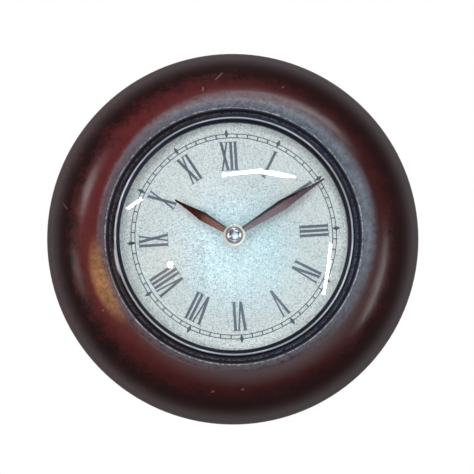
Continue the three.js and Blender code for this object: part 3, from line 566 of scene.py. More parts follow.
def dark_metal():
    """Dark polished metal with fine turning marks, a painted highlight along the bead, a dull land
    darkened as painted shade inside it, and a painted bluer reflection towards the right.
    """
    finish = Finish("dark_metal")
    # The dull tone is painted shade for the land, and the silver one a painted highlight for the bead.
    painted_navy_reflection, smoky = (0.19, 0.195, 0.27), (0.14, 0.12, 0.14)
    dull, painted_highlight_silver = (0.055, 0.055, 0.085), (0.72, 0.73, 0.8)
    crest = sizes().crest_radius
    land_edge, bead_edge = crest - 0.6 * MM, crest - 0.3 * MM
    x, y, _ = finish.axes()
    radius = finish.radius()
    lines = finish.noise(2600, 2, 0.5, finish.add("ShaderNodeCombineXYZ", {}, {0: radius, 1: y}))
    dust = finish.noise(700, 4, 0.7)
    # Painted shade: a dark, duller land inside the bead.
    dull_shaded_land = radius.ease(bead_edge, land_edge)
    # Painted highlight: a silver band along the bead's crest.
    bead = radius.ease(land_edge, bead_edge) * radius.ease(crest + 1.0 * MM, crest + 0.35 * MM)
    # Painted reflection: bluer towards the right.
    tint = finish.mix(x.ease(-30 * MM, 50 * MM), colours().bezel, painted_navy_reflection)
    tint = finish.mix(finish.noise(45, 2).ease(0.35, 0.65) * 0.5, tint, smoky)
    tint = finish.mix(bead, finish.mix(dull_shaded_land, tint, dull), painted_highlight_silver)
    shader = finish.surface(
        Base_Color=tint, Metallic=1.0, Roughness=0.07 + 0.12 * dust * dust + 0.2 * bead + 0.33 * dull_shaded_land,
        Normal=finish.bump(lines, 0.06, 0.02 * MM),
    )
    return finish.done(shader)


def clear_glass():
    """Clear glass that lets the lamps' light through to the dial."""
    finish = Finish("clear_glass")
    smear = finish.noise(35, 3, 0.6).ease(0.45, 0.75)
    glass = finish.surface(Base_Color=(1, 1, 1), Roughness=0.012 * smear, IOR=1.5, Transmission_Weight=1.0)
    open_way = finish.add("ShaderNodeBsdfTransparent", {}, {"Color": (0.97, 0.985, 0.98, 1)})
    shadow = finish.add("ShaderNodeLightPath", {}, {}, output="Is Shadow Ray")
    return finish.done(finish.add("ShaderNodeMixShader", {}, {0: shadow, 1: glass, 2: open_way}))


def dial_paper():
    """Pale speckled paper with a painted cool pool of light a little below the middle, painted light
    towards the rim that offsets the bezel's shade, and painted sheen on the specks in the pool.
    """
    finish = Finish("dial_paper")
    c = colours()
    # The pale edge tone is painted light for the rim, and the light speck tone painted sheen for the
    # specks in the pool.
    painted_light_rim, aged = (0.72, 0.74, 0.725), (0.55, 0.6, 0.56)
    fleck, cool_fleck, painted_sheen_speck = (0.23, 0.32, 0.35), (0.1, 0.2, 0.23), (0.68, 0.88, 0.93)
    x, _, z = finish.axes()
    # Painted light: a cool pool a little below the middle.
    middle = ((x * x + (z + 6 * MM) ** 2) ** 0.5).ease(46 * MM, 10 * MM)
    grain = finish.noise(1300, 4, 0.8)
    bright = finish.noise(1000, 3, 0.75).ease(0.48, 0.64)
    patches = finish.noise(60, 3).ease(0.45, 0.75)
    # Painted light towards the rim, offsetting the bezel's shade.
    rim = finish.mix(finish.radius().ease(47 * MM, 57 * MM), c.paper_rim, painted_light_rim)
    plain = finish.mix(middle, rim, c.paper)
    tone = finish.mix(grain.ease(0.34, 0.58), finish.mix(middle, fleck, cool_fleck), plain)
    # Painted sheen: light specks in the pool.
    tone = finish.mix(bright * middle * 0.6, tone, painted_sheen_speck)
    tone = finish.mix(patches * 0.25, tone, aged)
    shader = finish.surface(
        Base_Color=tone, Roughness=0.7 + 0.15 * grain, Normal=finish.bump(grain, 0.15, 0.03 * MM)
    )
    return finish.done(shader)


def printed_ink():
    """Slate ink that lets a little of the paper's grain through."""
    finish = Finish("printed_ink")
    thin_ink = (0.16, 0.19, 0.22)
    grain = finish.noise(1500, 4, 0.7)
    tone = finish.mix(grain.ease(0.45, 0.75) * 0.5, colours().ink, thin_ink)
    return finish.done(finish.surface(Base_Color=tone, Roughness=0.5 + 0.25 * grain))


def antique_copper(name, tone, rough):
    """Copper-brown plating with fine brushing."""
    finish = Finish(name)
    brushing = finish.noise(900, 4, 0.65)
    cloud = finish.noise(120, 3)
    shader = finish.surface(
        Base_Color=finish.mix(cloud.ease(0.35, 0.7), tone, shaded(tone, 0.7)), Metallic=1.0,
        Roughness=rough + 0.08 * brushing, Normal=finish.bump(brushing, 0.04, 0.02 * MM),
    )
    return finish.done(shader)


def plated(name, tone, rough):
    """Plain metal with a slightly uneven plating."""
    finish = Finish(name)
    cloud = finish.noise(125, 4, 0.6)
    fine = finish.noise(1500, 3, 0.6)
    shader = finish.surface(
        Base_Color=finish.mix(cloud.ease(0.35, 0.7), tone, shaded(tone, 0.78)), Metallic=1.0,
        Roughness=rough + 0.12 * cloud, Normal=finish.bump(fine, 0.08, 0.02 * MM),
    )
    return finish.done(shader)


def polished_cap():
    """Chrome, polished on top, darker and rougher towards the foot of the dome as a painted dark
    reflection, and creamy on its brim.
    """
    finish = Finish("polished_cap")
    chrome, painted_dark_reflection, cream = (0.82, 0.86, 0.95), (0.22, 0.19, 0.26), (0.92, 0.86, 0.74)
    radius = finish.radius()
    cloud = finish.noise(400, 3, 0.6)
    # Painted dark reflection towards the foot of the dome, which is also rougher there.
    dull = radius.ease(2.4 * MM, 4.2 * MM) * (0.8 + 0.3 * cloud)
    brim = radius.ease(CAP_DOME, CAP_DOME + 0.15 * MM)
    tone = finish.mix(brim, finish.mix(dull, chrome, painted_dark_reflection), cream)
    shader = finish.surface(
        Base_Color=tone, Metallic=1.0, Roughness=0.08 + 0.42 * dull * (1 - 0.5 * brim),
        Normal=finish.bump(cloud, 0.05, 0.02 * MM),
    )
    return finish.done(shader)


def moulded(name, tone, rough, texture):
    """Moulded plastic or rubber with a fine spark-eroded texture."""
    finish = Finish(name)
    grain = finish.noise(2200, 3, 0.6)
    cloud = finish.noise(90, 3)
    shader = finish.surface(
        Base_Color=finish.mix(cloud.ease(0.35, 0.7), tone, shaded(tone, 0.85)),
        Roughness=rough + 0.12 * grain, Normal=finish.bump(grain, texture, 0.05 * MM),
    )
    return finish.done(shader)


def bare_plywood():
    """Birch plywood with its grain running across the clock."""
    finish = Finish("bare_plywood")
    dark_grain, light_grain, dark_fleck = (0.36, 0.23, 0.11), (0.54, 0.39, 0.22), (0.25, 0.14, 0.06)
    streaks = finish.noise(160, 5, 0.65, finish.stretched(0.08, 1, 1))
    fleck = finish.noise(900, 3, 0.6, finish.stretched(0.06, 1, 1))
    tone = finish.mix(streaks.ease(0.3, 0.7), dark_grain, light_grain)
    tone = finish.mix(fleck.ease(0.6, 0.72) * 0.5, tone, dark_fleck)
    shader = finish.surface(
        Base_Color=tone, Roughness=0.62 + 0.2 * streaks, Normal=finish.bump(fleck, 0.3, 0.1 * MM)
    )
    return finish.done(shader)


def wound_copper():
    """Fine enamelled wire, wound in turns along the coil."""
    finish = Finish("wound_copper")
    light_wire, dark_wire, wire = (0.52, 0.17, 0.06), (0.3, 0.09, 0.035), 0.16 * MM
    x, _, _ = finish.axes()
    turns = (x * (tau / wire)).sine()
    uneven = finish.noise(700, 3)
    shader = finish.surface(
        Base_Color=finish.mix(uneven, light_wire, dark_wire), Metallic=0.8, Roughness=0.28 + 0.1 * uneven,
        Normal=finish.bump(turns, 0.5, 0.05 * MM),
    )
    return finish.done(shader)


def cell_jacket():
    """Printed jacket of the cell: a dark can, a tan band and a bare positive end."""
    finish = Finish("cell_jacket")
    dark_can, tan, bare_metal = (0.03, 0.05, 0.085), (0.5, 0.33, 0.13), (0.6, 0.6, 0.58)
    band_start, jacket_end = 13.2 * MM, 24.1 * MM
    x, _, _ = finish.axes()
    scuffs = finish.noise(500, 4, 0.7, finish.stretched(0.2, 1, 1))
    band = x.ease(band_start, band_start + 0.2 * MM)
    bare = x.ease(jacket_end, jacket_end + 0.1 * MM)
    tone = finish.mix(bare, finish.mix(band, dark_can, tan), bare_metal)
    shader = finish.surface(
        Base_Color=tone, Metallic=0.35 + 0.6 * bare, Roughness=0.26 + 0.2 * scuffs,
    )
    return finish.done(shader)


# Pieces


class CLOCK_OT_case_ring(bpy.types.Operator):
    """Turn the wooden ring and let the hanger's recess into its back"""

    bl_idname = "clock.case_ring"
    bl_label = "Wooden ring"

    edge_round = 0.45 * MM
    lip_margin = 0.02
    pocket_half_width = 5.8 * MM
    pocket_depth = 10.7 * MM
    pocket_margin = 1.2 * MM
    pocket_corner = 2.5 * MM
    screw_hole = 1.5 * MM
    screw_hole_depth = 12.2 * MM

    def execute(self, context):
        ring = turn_on_lathe(closed(self.section()))
        carve(ring, *self.hanger_cutters())
        finish_piece(ring, "wooden_ring", "case", lacquered_wood(), ["case_ring"], 30)
        return {"FINISHED"}

    def section(self):
        """The ring's section, from the back of its bore out over the crown and down to the shoulder."""
        s, edge = sizes(), self.edge_round
        bore = board_reach + 2 * SEAT
        shoulder = board_front + SEAT
        ledge = dial_face + s.ledge_rise
        lip_height = dial_face + s.lip_rise
        inner_span = s.crown_radius - s.lip_radius + s.lip_ease
        share = (s.crown_radius - s.lip_radius) / inner_span
        inner_drop = (case_front - lip_height) / (1 - sqrt(1 - share * share))
        lip_angle = pi - acos(share) - self.lip_margin
        foot = (case_reach - s.foot_inset, s.widest_height)
        outer_spans = (case_reach - s.crown_radius, case_front - s.widest_height)
        inner_middle = (s.crown_radius, case_front - inner_drop)
        return [
            (bore + edge, 0),
            *arc(foot, (s.foot_inset, s.widest_height), -pi / 2, 0, 14),
            *arc((s.crown_radius, s.widest_height), outer_spans, 0, pi / 2, 26)[1:],
            *arc(inner_middle, (inner_span, inner_drop), pi / 2, lip_angle, 16)[1:],
            *arc((s.lip_radius + edge, lip_height - edge), (edge, edge), 0.75 * pi, pi, 4),
            (s.lip_radius, ledge),
            (s.well_radius, ledge),
            (s.well_radius, shoulder),
            (bore, shoulder),
            (bore, edge),
        ]

    def hanger_cutters(self):
        """What cuts the hanger's recess, the pocket for the nail's head and the two screw holes."""
        gap, margin = 2 * SEAT, self.pocket_margin
        depth = -hanger_low.y + SEAT
        recess = add_rounded_block(
            (hanger_low.x - gap, -depth, hanger_low.z - gap),
            (hanger_high.x + gap, MM, hanger_high.z + gap), HANGER_CORNER + gap,
        )
        pocket = add_rounded_block(
            (-self.pocket_half_width, -self.pocket_depth, hanger_low.z + margin),
            (self.pocket_half_width, 0, hanger_high.z - margin), self.pocket_corner, segments=6,
        )
        holes = [
            add_post((side * SCREW_SPREAD, hanger_middle.z), self.screw_hole, 0, self.screw_hole_depth, 16)
            for side in (-1, 1)
        ]
        return [recess, pocket, *holes]


def dome_radius():
    """Radius of the spheres that the glass's two faces are part of."""
    rise = glass_front - glass_back - sizes().glass_thickness
    return (glass_reach**2 + rise**2) / (2 * rise)


def dome_height(radius):
    """Height of the glass's outer face above the wall."""
    dome = dome_radius()
    return glass_front - dome + sqrt(dome**2 - radius**2)


class CLOCK_OT_bezel(bpy.types.Operator):
    """Turn the bezel with its bead and the spacer under the glass"""

    bl_idname = "clock.bezel"
    bl_label = "Bezel and spacer"

    flange_rise = 4.5 * MM
    bead = 0.8 * MM
    bead_spread = radians(22)
    edge_round = 0.15 * MM
    sight_edge = 0.3 * MM
    spacer_chamfer = 0.3 * MM

    def execute(self, context):
        metal = dark_metal()
        bezel = turn_on_lathe(closed(self.section()), BEZEL_TURN)
        finish_piece(bezel, "bezel_ring", "case", metal, ["bezel"], 40)
        bore, chamfer = sizes().sight_radius + SEAT, self.spacer_chamfer
        spacer = turn_on_lathe(closed([
            (bore, spacer_back), (spacer_reach, spacer_back), (spacer_reach, spacer_front),
            (bore + chamfer, spacer_front), (bore, spacer_front - chamfer),
        ]))
        finish_piece(spacer, "glass_spacer", "case", metal, ["spacer_ring"])
        return {"FINISHED"}

    def section(self):
        """The bezel's section: skirt, flange on the wood, bead, and slope to its edge over the glass."""
        s, edge, bead = sizes(), self.edge_round, self.bead
        skirt_outer = s.well_radius - 2 * SEAT
        skirt_inner = glass_reach + 2 * SEAT
        flange_under = dial_face + s.ledge_rise + SEAT
        flange_top = dial_face + self.flange_rise
        under = dome_height(s.sight_radius) + SEAT
        start, end = pi / 2 - self.bead_spread, pi / 2 + self.bead_spread
        return [
            (skirt_inner, bezel_back),
            (skirt_outer, bezel_back),
            (skirt_outer, flange_under),
            (bezel_reach, flange_under),
            *arc((bezel_reach - edge, flange_top - edge), (edge, edge), 0, 0.38 * pi, 3),
            *arc((s.crest_radius, bezel_front - bead), (bead, bead), start, end, 10),
            *arc((s.sight_radius + edge, under + self.sight_edge - edge), (edge, edge), 0.62 * pi, pi, 3),
            (s.sight_radius, under),
            (skirt_inner, dome_height(skirt_inner) + SEAT),
        ]


class CLOCK_OT_glass(bpy.types.Operator):
    """Turn the domed glass with a ground edge"""

    bl_idname = "clock.glass"
    bl_label = "Domed glass"

    grind = 0.25 * MM
    steps = 28

    def execute(self, context):
        radii = [(glass_reach - self.grind) * step / self.steps for step in range(self.steps + 1)]
        outer = [(radius, dome_height(radius)) for radius in radii]
        inner = [(radius, height - sizes().glass_thickness) for radius, height in outer]
        rim = [(glass_reach, inner[-1][1] + self.grind), (glass_reach, outer[-1][1] - self.grind)]
        glass = turn_on_lathe([*inner, *rim, *reversed(outer)])
        finish_piece(glass, "glass_dome", "case", clear_glass(), ["domed_glass"], 30)
        return {"FINISHED"}


def add_bar(foot, head, width, low, high, level):
    """Adds a slanted stroke to the mesh in edit mode: its foot and head are places along x."""
    middle = Vector((foot, level, (low + high) / 2))
    bpy.ops.mesh.primitive_plane_add(size=1, location=middle, rotation=TO_FRONT)
    bpy.ops.transform.resize(value=(width, 1, high - low), center_override=middle)
    select_points(bpy.context.object, lambda point: point.select and point.co.z > middle.z)
    bpy.ops.transform.translate(value=(head - foot, 0, 0))


class CLOCK_OT_dial(bpy.types.Operator):
    """Cut the dial paper and print its minute track and numerals"""

    bl_idname = "clock.dial"
    bl_label = "Dial"

    hole = 4.1 * MM
    card_edge = 0.05 * MM
    ink_gap = 0.01 * MM
    ink_height = 0.04 * MM
    track_line = 0.5 * MM
    track_steps = 240
    tick_width = 0.68 * MM
    diamond_width = 2.3 * MM
    diamond_inward = 0.2 * MM
    diamond_outward = 2.5 * MM
    numerals = ("XII", "I", "II", "III", "IV", "V", "VI", "VII", "VIII", "IX", "X", "XI")
    numeral_turn = radians(0.7)
    letter_width = {"I": 2.4 * MM, "V": 4.7 * MM, "X": 4.9 * MM}
    letter_half = {"I": 0, "V": 1.75 * MM, "X": 1.55 * MM}
    thick = 1.5 * MM
    thin = 0.9 * MM
    serif = 0.34 * MM
    serif_overhang = 1.3 * MM
    foot_gap = 0.2 * MM

    def execute(self, context):
        hole, edge = self.hole, self.card_edge
        paper = turn_on_lathe(closed([
            (hole, dial_back), (dial_reach, dial_back), (dial_reach, dial_face - edge),
            (dial_reach - edge, dial_face), (hole, dial_face),
        ]))
        finish_piece(paper, "dial_sheet", "case", dial_paper(), ["dial_paper"])
        ink = printed_ink()
        track = self.minute_track()
        finish_piece(track, "minute_track", "case", ink)
        marks = join([self.numeral(hour, text) for hour, text in enumerate(self.numerals)])
        finish_piece(marks, "roman_numerals", "case", ink)
        return {"FINISHED"}

    def printed(self, piece):
        """Gives flat marks the thickness of a layer of ink."""
        use_modifier(piece, "SOLIDIFY", thickness=self.ink_height, offset=1)
        return piece

    def above(self, height):
        """A place on the dial, straight above the hands' axis."""
        return Vector((0, -(dial_face + self.ink_gap), height))

    def minute_track(self):
        """Two circles, a tick at each minute and a slim diamond at each hour."""
        s = sizes()
        low, high = s.track_inner, s.track_outer
        parts = [self.circle(low), self.circle(high)]
        clear_selection()
        bpy.ops.mesh.primitive_plane_add(size=1, location=self.above((low + high) / 2), rotation=TO_FRONT)
        parts.append(self.all_round(60, self.tick_width, high - low))
        low, high = low - self.diamond_inward, high + self.diamond_outward
        middle = self.above((low + high) / 2)
        clear_selection()
        bpy.ops.mesh.primitive_circle_add(
            vertices=4, radius=0.5, fill_type="NGON", location=middle, rotation=TO_FRONT
        )
        parts.append(self.all_round(12, self.diamond_width, high - low))
        return self.printed(join(parts))

    def circle(self, radius):
        """A thin line all round the dial."""
        inner, outer = radius - self.track_line / 2, radius + self.track_line / 2
        clear_selection()
        bpy.ops.mesh.primitive_circle_add(
            vertices=self.track_steps, radius=inner, location=self.above(0), rotation=TO_FRONT
        )
        ring = bpy.context.object
        bpy.ops.object.mode_set(mode="EDIT")
        bpy.ops.mesh.extrude_region_move()
        bpy.ops.transform.resize(value=(outer / inner, 1, outer / inner), center_override=self.above(0))
        bpy.ops.object.mode_set(mode="OBJECT")
        apply_place(ring)
        return ring

    @staticmethod
    def all_round(count, width, height):
        """Stretches the mark that was just added and repeats it all round the dial."""
        mark = bpy.context.object
        mark.scale = (width, height, 1)
        apply_place(mark)
        bpy.ops.object.mode_set(mode="EDIT")
        bpy.ops.mesh.select_all(action="SELECT")
        bpy.ops.mesh.spin(
            steps=count - 1, dupli=True, angle=tau * (count - 1) / count, center=ORIGIN, axis=AXIS
        )
        bpy.ops.object.mode_set(mode="OBJECT")
        return mark

    def numeral(self, hour, text):
        """One numeral, drawn at twelve o'clock with its feet to the middle and turned to its hour."""
        clear_selection()
        bpy.ops.mesh.primitive_plane_add(size=MM, enter_editmode=True, location=ORIGIN)
        bpy.ops.mesh.delete(type="VERT")
        piece = bpy.context.object
        left = -sum(self.letter_width[letter] for letter in text) / 2
        for letter in text:
            width = self.letter_width[letter]
            self.letter(letter, left + width / 2)
            left += width
        bpy.ops.object.mode_set(mode="OBJECT")
        piece.rotation_euler.y = hour * tau / 12 + self.numeral_turn
        apply_place(piece)
        return self.printed(piece)

    def letter(self, letter, middle):
        """The strokes of one letter and their serifs."""
        low, high, level = sizes().numeral_foot, sizes().numeral_head, self.above(0).y
        left, right = middle - self.letter_half[letter], middle + self.letter_half[letter]
        strokes = {
            "I": [(middle, middle, self.thick)],
            "V": [(middle, left, self.thick), (middle + self.foot_gap, right, self.thin)],
            "X": [(right, left, self.thick), (left, right, self.thin)],
        }
        for foot, head, width in strokes[letter]:
            add_bar(foot, head, width, low, high, level)
            add_bar(head, head, width + self.serif_overhang, high - self.serif, high, level)
            if letter != "V":
                add_bar(foot, foot, width + self.serif_overhang, low, low + self.serif, level)


class CLOCK_OT_hands(bpy.types.Operator):
    """Press the two ridged hands and turn the chrome cap"""

    bl_idname = "clock.hands"
    bl_label = "Hands and cap"

    shown_minutes = 610.35
    rows = 44
    sheet = 0.4 * MM
    ridge = 0.42 * MM
    root_width = 2.3 * MM
    tip_width = 0.8 * MM
    hollow = 1.35
    eyelet_wall = 1.9 * MM
    edge_round = 0.06 * MM

    def execute(self, context):
        s, c = sizes(), colours()
        # Painted reflections: the one plating of both hands is given a dim brown on the minute hand and a
        # warm copper on the hour hand.
        brown = antique_copper("antique_brown", c.brown, 0.1)
        copper = antique_copper("antique_copper", c.copper, 0.09)
        turn = self.shown_minutes * tau / 60
        minute = self.hand(
            s.minute_length, s.minute_width, belly=30.8 * MM, drop=1.2 * MM, lean=-0.4,
            tube=MINUTE_TUBE, base=dial_face + 4 * MM, turn=turn,
        )
        finish_piece(minute, "minute_hand_blade", "minute", brown, ["minute_hand"], 12)
        hour = self.hand(
            s.hour_length, s.hour_width, belly=19.6 * MM, drop=0.5 * MM, lean=0.52,
            tube=HOUR_TUBE, base=dial_face + 2.8 * MM, turn=turn / 12,
        )
        finish_piece(hour, "hour_hand_blade", "hour", copper, ["hour_hand"], 12)
        finish_piece(self.cap(), "domed_cap", "minute", polished_cap(), ["hand_cap"], 40)
        return {"FINISHED"}

    def half_width(self, along, reach, belly, width):
        """Half of the blade's width: straight up to the belly, then slightly hollow to the tip."""
        if along < belly:
            return (self.root_width + (width - self.root_width) * along / belly) / 2
        share = (reach - along) / (reach - belly)
        return (self.tip_width + (width - self.tip_width) * share**self.hollow) / 2

    def hand(self, reach, width, belly, drop, lean, tube, base, turn):
        """A blade with a ridge off its middle and an eyelet, modelled pointing to twelve, then turned."""
        bore, rim = tube + SEAT, tube + SEAT + self.eyelet_wall
        start = (bore + rim) / 2
        step = (reach - start) / self.rows
        clear_selection()
        bpy.ops.mesh.primitive_grid_add(
            x_subdivisions=2, y_subdivisions=self.rows, size=1, location=(0, -base, (start + reach) / 2),
            rotation=TO_FRONT,
        )
        blade = bpy.context.object
        blade.scale = (1, reach - start, 1)
        apply_place(blade)
        bpy.ops.object.mode_set(mode="EDIT")
        for row in range(self.rows + 1):
            along = start + step * row
            half = self.half_width(along, reach, belly, width)
            select_points(blade, lambda point: abs(point.co.z - along) < step / 3)
            bpy.ops.transform.resize(value=(2 * half, 1, 1), center_override=(0, -base, along))
            bpy.ops.transform.translate(value=(0, drop * (along / reach) ** 2, 0))
            select_points(blade, lambda point: point.select and abs(point.co.x) < MM / 100)
            bpy.ops.transform.translate(value=(lean * half, -self.ridge * 2 * half / width, 0))
        bpy.ops.object.mode_set(mode="OBJECT")
        use_modifier(blade, "SOLIDIFY", thickness=self.sheet, offset=1)
        top = base + self.sheet
        eyelet = turn_on_lathe(closed([(bore, base), (rim, base), (rim, top), (bore, top)]), SMALL_TURN)
        hand = join([blade, eyelet])
        hand.rotation_euler.y = turn
        apply_place(hand)
        soften(hand, self.edge_round, segments=1, angle=50)
        return hand

    @staticmethod
    def cap():
        """A squarish dome on a thin brim, with a boss that is pressed on the minute hand's tube."""
        brim_low = dial_face + 5 * MM
        brim_top = brim_low + 0.4 * MM
        bore, bore_end, boss = MINUTE_TUBE + SEAT, brim_low - 0.05 * MM, 2.5 * MM
        edge, steps, squareness = 0.12 * MM, 24, 0.77
        rise = cap_front - brim_top
        angles = [pi / 2 * step / steps for step in range(steps)]
        dome = [(CAP_DOME * cos(a) ** squareness, brim_top + rise * sin(a) ** squareness) for a in angles]
        return turn_on_lathe([
            (0, bore_end),
            (bore, bore_end),
            (bore, cap_back),
            (boss, cap_back),
            (boss, brim_low),
            *arc((cap_reach - edge, brim_low + edge), (edge, edge), -pi / 2, 0, 3),
            *arc((cap_reach - edge, brim_top - edge), (edge, edge), 0, pi / 2, 3),
            *dome,
            (0, cap_front),
        ], MEDIUM_TURN)


class CLOCK_OT_hanger(bpy.types.Operator):
    """Cut the keyhole hanger and drive its screws"""

    bl_idname = "clock.hanger"
    bl_label = "Hanger"

    hole_radius = 4.6 * MM
    hole_drop = 1.75 * MM
    slot_radius = 2.5 * MM
    slot_run = 5.6 * MM
    sink_radius = 3.6 * MM
    sink_depth = 1.65 * MM
    screw_bore = 1.45 * MM
    edge_round = 0.18 * MM
    cross_half = 0.35 * MM

    def execute(self, context):
        zinc = plated("zinc_plating", (0.55, 0.56, 0.55), 0.28)
        back, front = -hanger_high.y, -hanger_low.y
        plate = add_rounded_block(hanger_low, hanger_high, HANGER_CORNER, segments=12)
        carve(plate, *self.plate_cutters(back, front))
        soften(plate, self.edge_round)
        finish_piece(plate, "keyhole_plate", "case", zinc, ["hanger_plate"])
        screw = self.plate_screw(back)
        for number, side in ((1, -1), (2, 1)):
            twin = copy_to(screw, (side * SCREW_SPREAD, 0, hanger_middle.z))
            finish_piece(
                twin, f"plate_screw_{number}", "case", zinc, [f"hanger_screw_{number}"]
            )
        bpy.data.objects.remove(screw)
        screw = self.board_screw()
        for number in range(1, 5):
            low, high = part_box(f"board_screw_{number}")
            middle = (low + high) / 2
            twin = copy_to(screw, (middle.x, 0, middle.z))
            finish_piece(twin, f"rim_screw_{number}", "case", zinc, [f"board_screw_{number}"])
        bpy.data.objects.remove(screw)
        return {"FINISHED"}

    def plate_cutters(self, back, front):
        """What cuts the keyhole and the two sunk screw holes."""
        past = 0.5 * MM
        start, end = back - past, front + past
        hole = (0, hanger_middle.z - self.hole_drop)
        slot_end = (0, hole[1] + self.slot_run)
        cutters = [
            add_post(hole, self.hole_radius, start, end),
            add_block((-self.slot_radius, -end, hole[1]), (self.slot_radius, -start, slot_end[1])),
            add_post(slot_end, self.slot_radius, start, end),
        ]
        for side in (-1, 1):
            sink = turn_on_lathe([
                (0, start), (self.sink_radius, start), (self.screw_bore, back + self.sink_depth),
                (self.screw_bore, end), (0, end),
            ], SCREW_TURN)
            sink.location = (side * SCREW_SPREAD, 0, hanger_middle.z)
            apply_place(sink)
            cutters.append(sink)
        return cutters

    def cross(self, back, front, reach):
        """Two thin blocks that cut a cross into a screw's head, between two heights above the wall."""
        half = self.cross_half
        return [
            add_block((-reach, -front, -half), (reach, -back, half)),
            add_block((-half, -front, -reach), (half, -back, reach)),
        ]

    def plate_screw(self, back):
        """A screw with a flat sunk head, level with the back of the plate."""
        head, shank, edge = 2.8 * MM, 1.3 * MM, 0.1 * MM
        tip, point = 12 * MM, 2.6 * MM
        cross_depth, cross_reach = 0.9 * MM, 1.5 * MM
        screw = turn_on_lathe([
            (0, back), (head - edge, back), (head, back + edge), (shank, back + head - shank),
            (shank, tip - point), (0, tip),
        ], SCREW_TURN)
        carve(screw, *self.cross(back - MM, back + cross_depth, cross_reach))
        return screw

    def board_screw(self):
        """A screw with a domed head that lies on the back of the board."""
        head, dome, shank = 1.9 * MM, 1.1 * MM, 0.8 * MM
        grip, point = 3 * MM, 1.6 * MM
        cross_floor, cross_reach = 0.45 * MM, 1.0 * MM
        under = board_back - SEAT
        tip = board_front + SEAT + grip
        screw = turn_on_lathe([
            (0, under - dome), *arc((0, under), (head, dome), -pi / 2, 0, 8)[1:],
            (shank, under), (shank, tip - point), (0, tip),
        ], SCREW_TURN)
        carve(screw, *self.cross(under - 2 * MM, under - cross_floor, cross_reach))
        return screw


class CLOCK_OT_cell(bpy.types.Operator):
    """Turn the cell in its bay"""

    bl_idname = "clock.cell"
    bl_label = "Cell"

    def execute(self, context):
        radius = (cell_high.z - cell_low.z) / 2
        rim, slope, edge = radius - 1.6 * MM, 0.2 * MM, 0.8 * MM
        dish, dip = 0.2 * MM, 0.3 * MM
        nub, nub_length, nub_foot, nub_edge = 2.7 * MM, 1.3 * MM, 0.1 * MM, 0.3 * MM
        start, tip = cell_low.x, cell_high.x
        end = tip - nub_length
        cell = turn_on_lathe([
            (0, start + dish), (rim - slope, start + dish), (rim, start),
            *arc((radius - edge, start + edge), (edge, edge), -pi / 2, 0, 5),
            *arc((radius - edge, end - edge), (edge, edge), 0, pi / 2, 5),
            (rim + slope, end), (rim, end - dip), (nub + nub_foot, end - dip),
            *arc((nub - nub_edge, tip - nub_edge), (nub_edge, nub_edge), 0, pi / 2, 3),
            (0, tip),
        ], MEDIUM_TURN)
        middle = (cell_low + cell_high) / 2
        cell.matrix_world = Matrix.Translation((0, middle.y, middle.z)) @ Matrix.Rotation(pi / 2, 4, "Z")
        finish_piece(cell, "round_cell", "case", cell_jacket(), ["battery_cell"], 40)
        return {"FINISHED"}


class CLOCK_OT_frame_finishes(bpy.types.Operator):
    """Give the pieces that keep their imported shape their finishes"""

    bl_idname = "clock.frame_finishes"
    bl_label = "Movement finishes"

    def execute(self, context):
        black = moulded("black_moulding", (0.02, 0.021, 0.023), 0.42, 0.35)
        white = moulded("white_moulding", (0.72, 0.71, 0.65), 0.38, 0.1)
        brass = plated("turned_brass", (0.6, 0.4, 0.14), 0.22)
        steel = plated("plain_steel", (0.42, 0.43, 0.45), 0.3)
        can = plated("crystal_can", (0.6, 0.61, 0.6), 0.22)
        finishes = {
            bare_plywood(): ["dial_board"],
            black: ["movement_front_shell", "movement_back_cover", "control_chip"],
            white: ["train_plate", "rotor_pinion", "fifth_wheel", "second_wheel", "third_wheel",
                    "centre_wheel", "motion_wheel", "setting_knob", "hour_wheel", "coil_bobbin"],
            brass: ["fixing_washer", "fixing_nut", "threaded_bushing", "cannon_pinion",
                    "contact_positive", "contact_negative"],
            steel: ["stator", "coil_core"],
            can: ["quartz_crystal"],
            moulded("soft_rubber", (0.016, 0.016, 0.016), 0.75, 0.3): ["rubber_washer"],
            wound_copper(): ["coil_winding"],
            moulded("green_circuit", (0.03, 0.16, 0.06), 0.35, 0.15): ["circuit_board"],
            plated("sintered_magnet", (0.1, 0.1, 0.11), 0.45): ["rotor_magnet"],
        }
        for finish, nodes in finishes.items():
            for node in nodes:
                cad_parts[node].material_slots[0].material = finish
        return {"FINISHED"}


# Studio


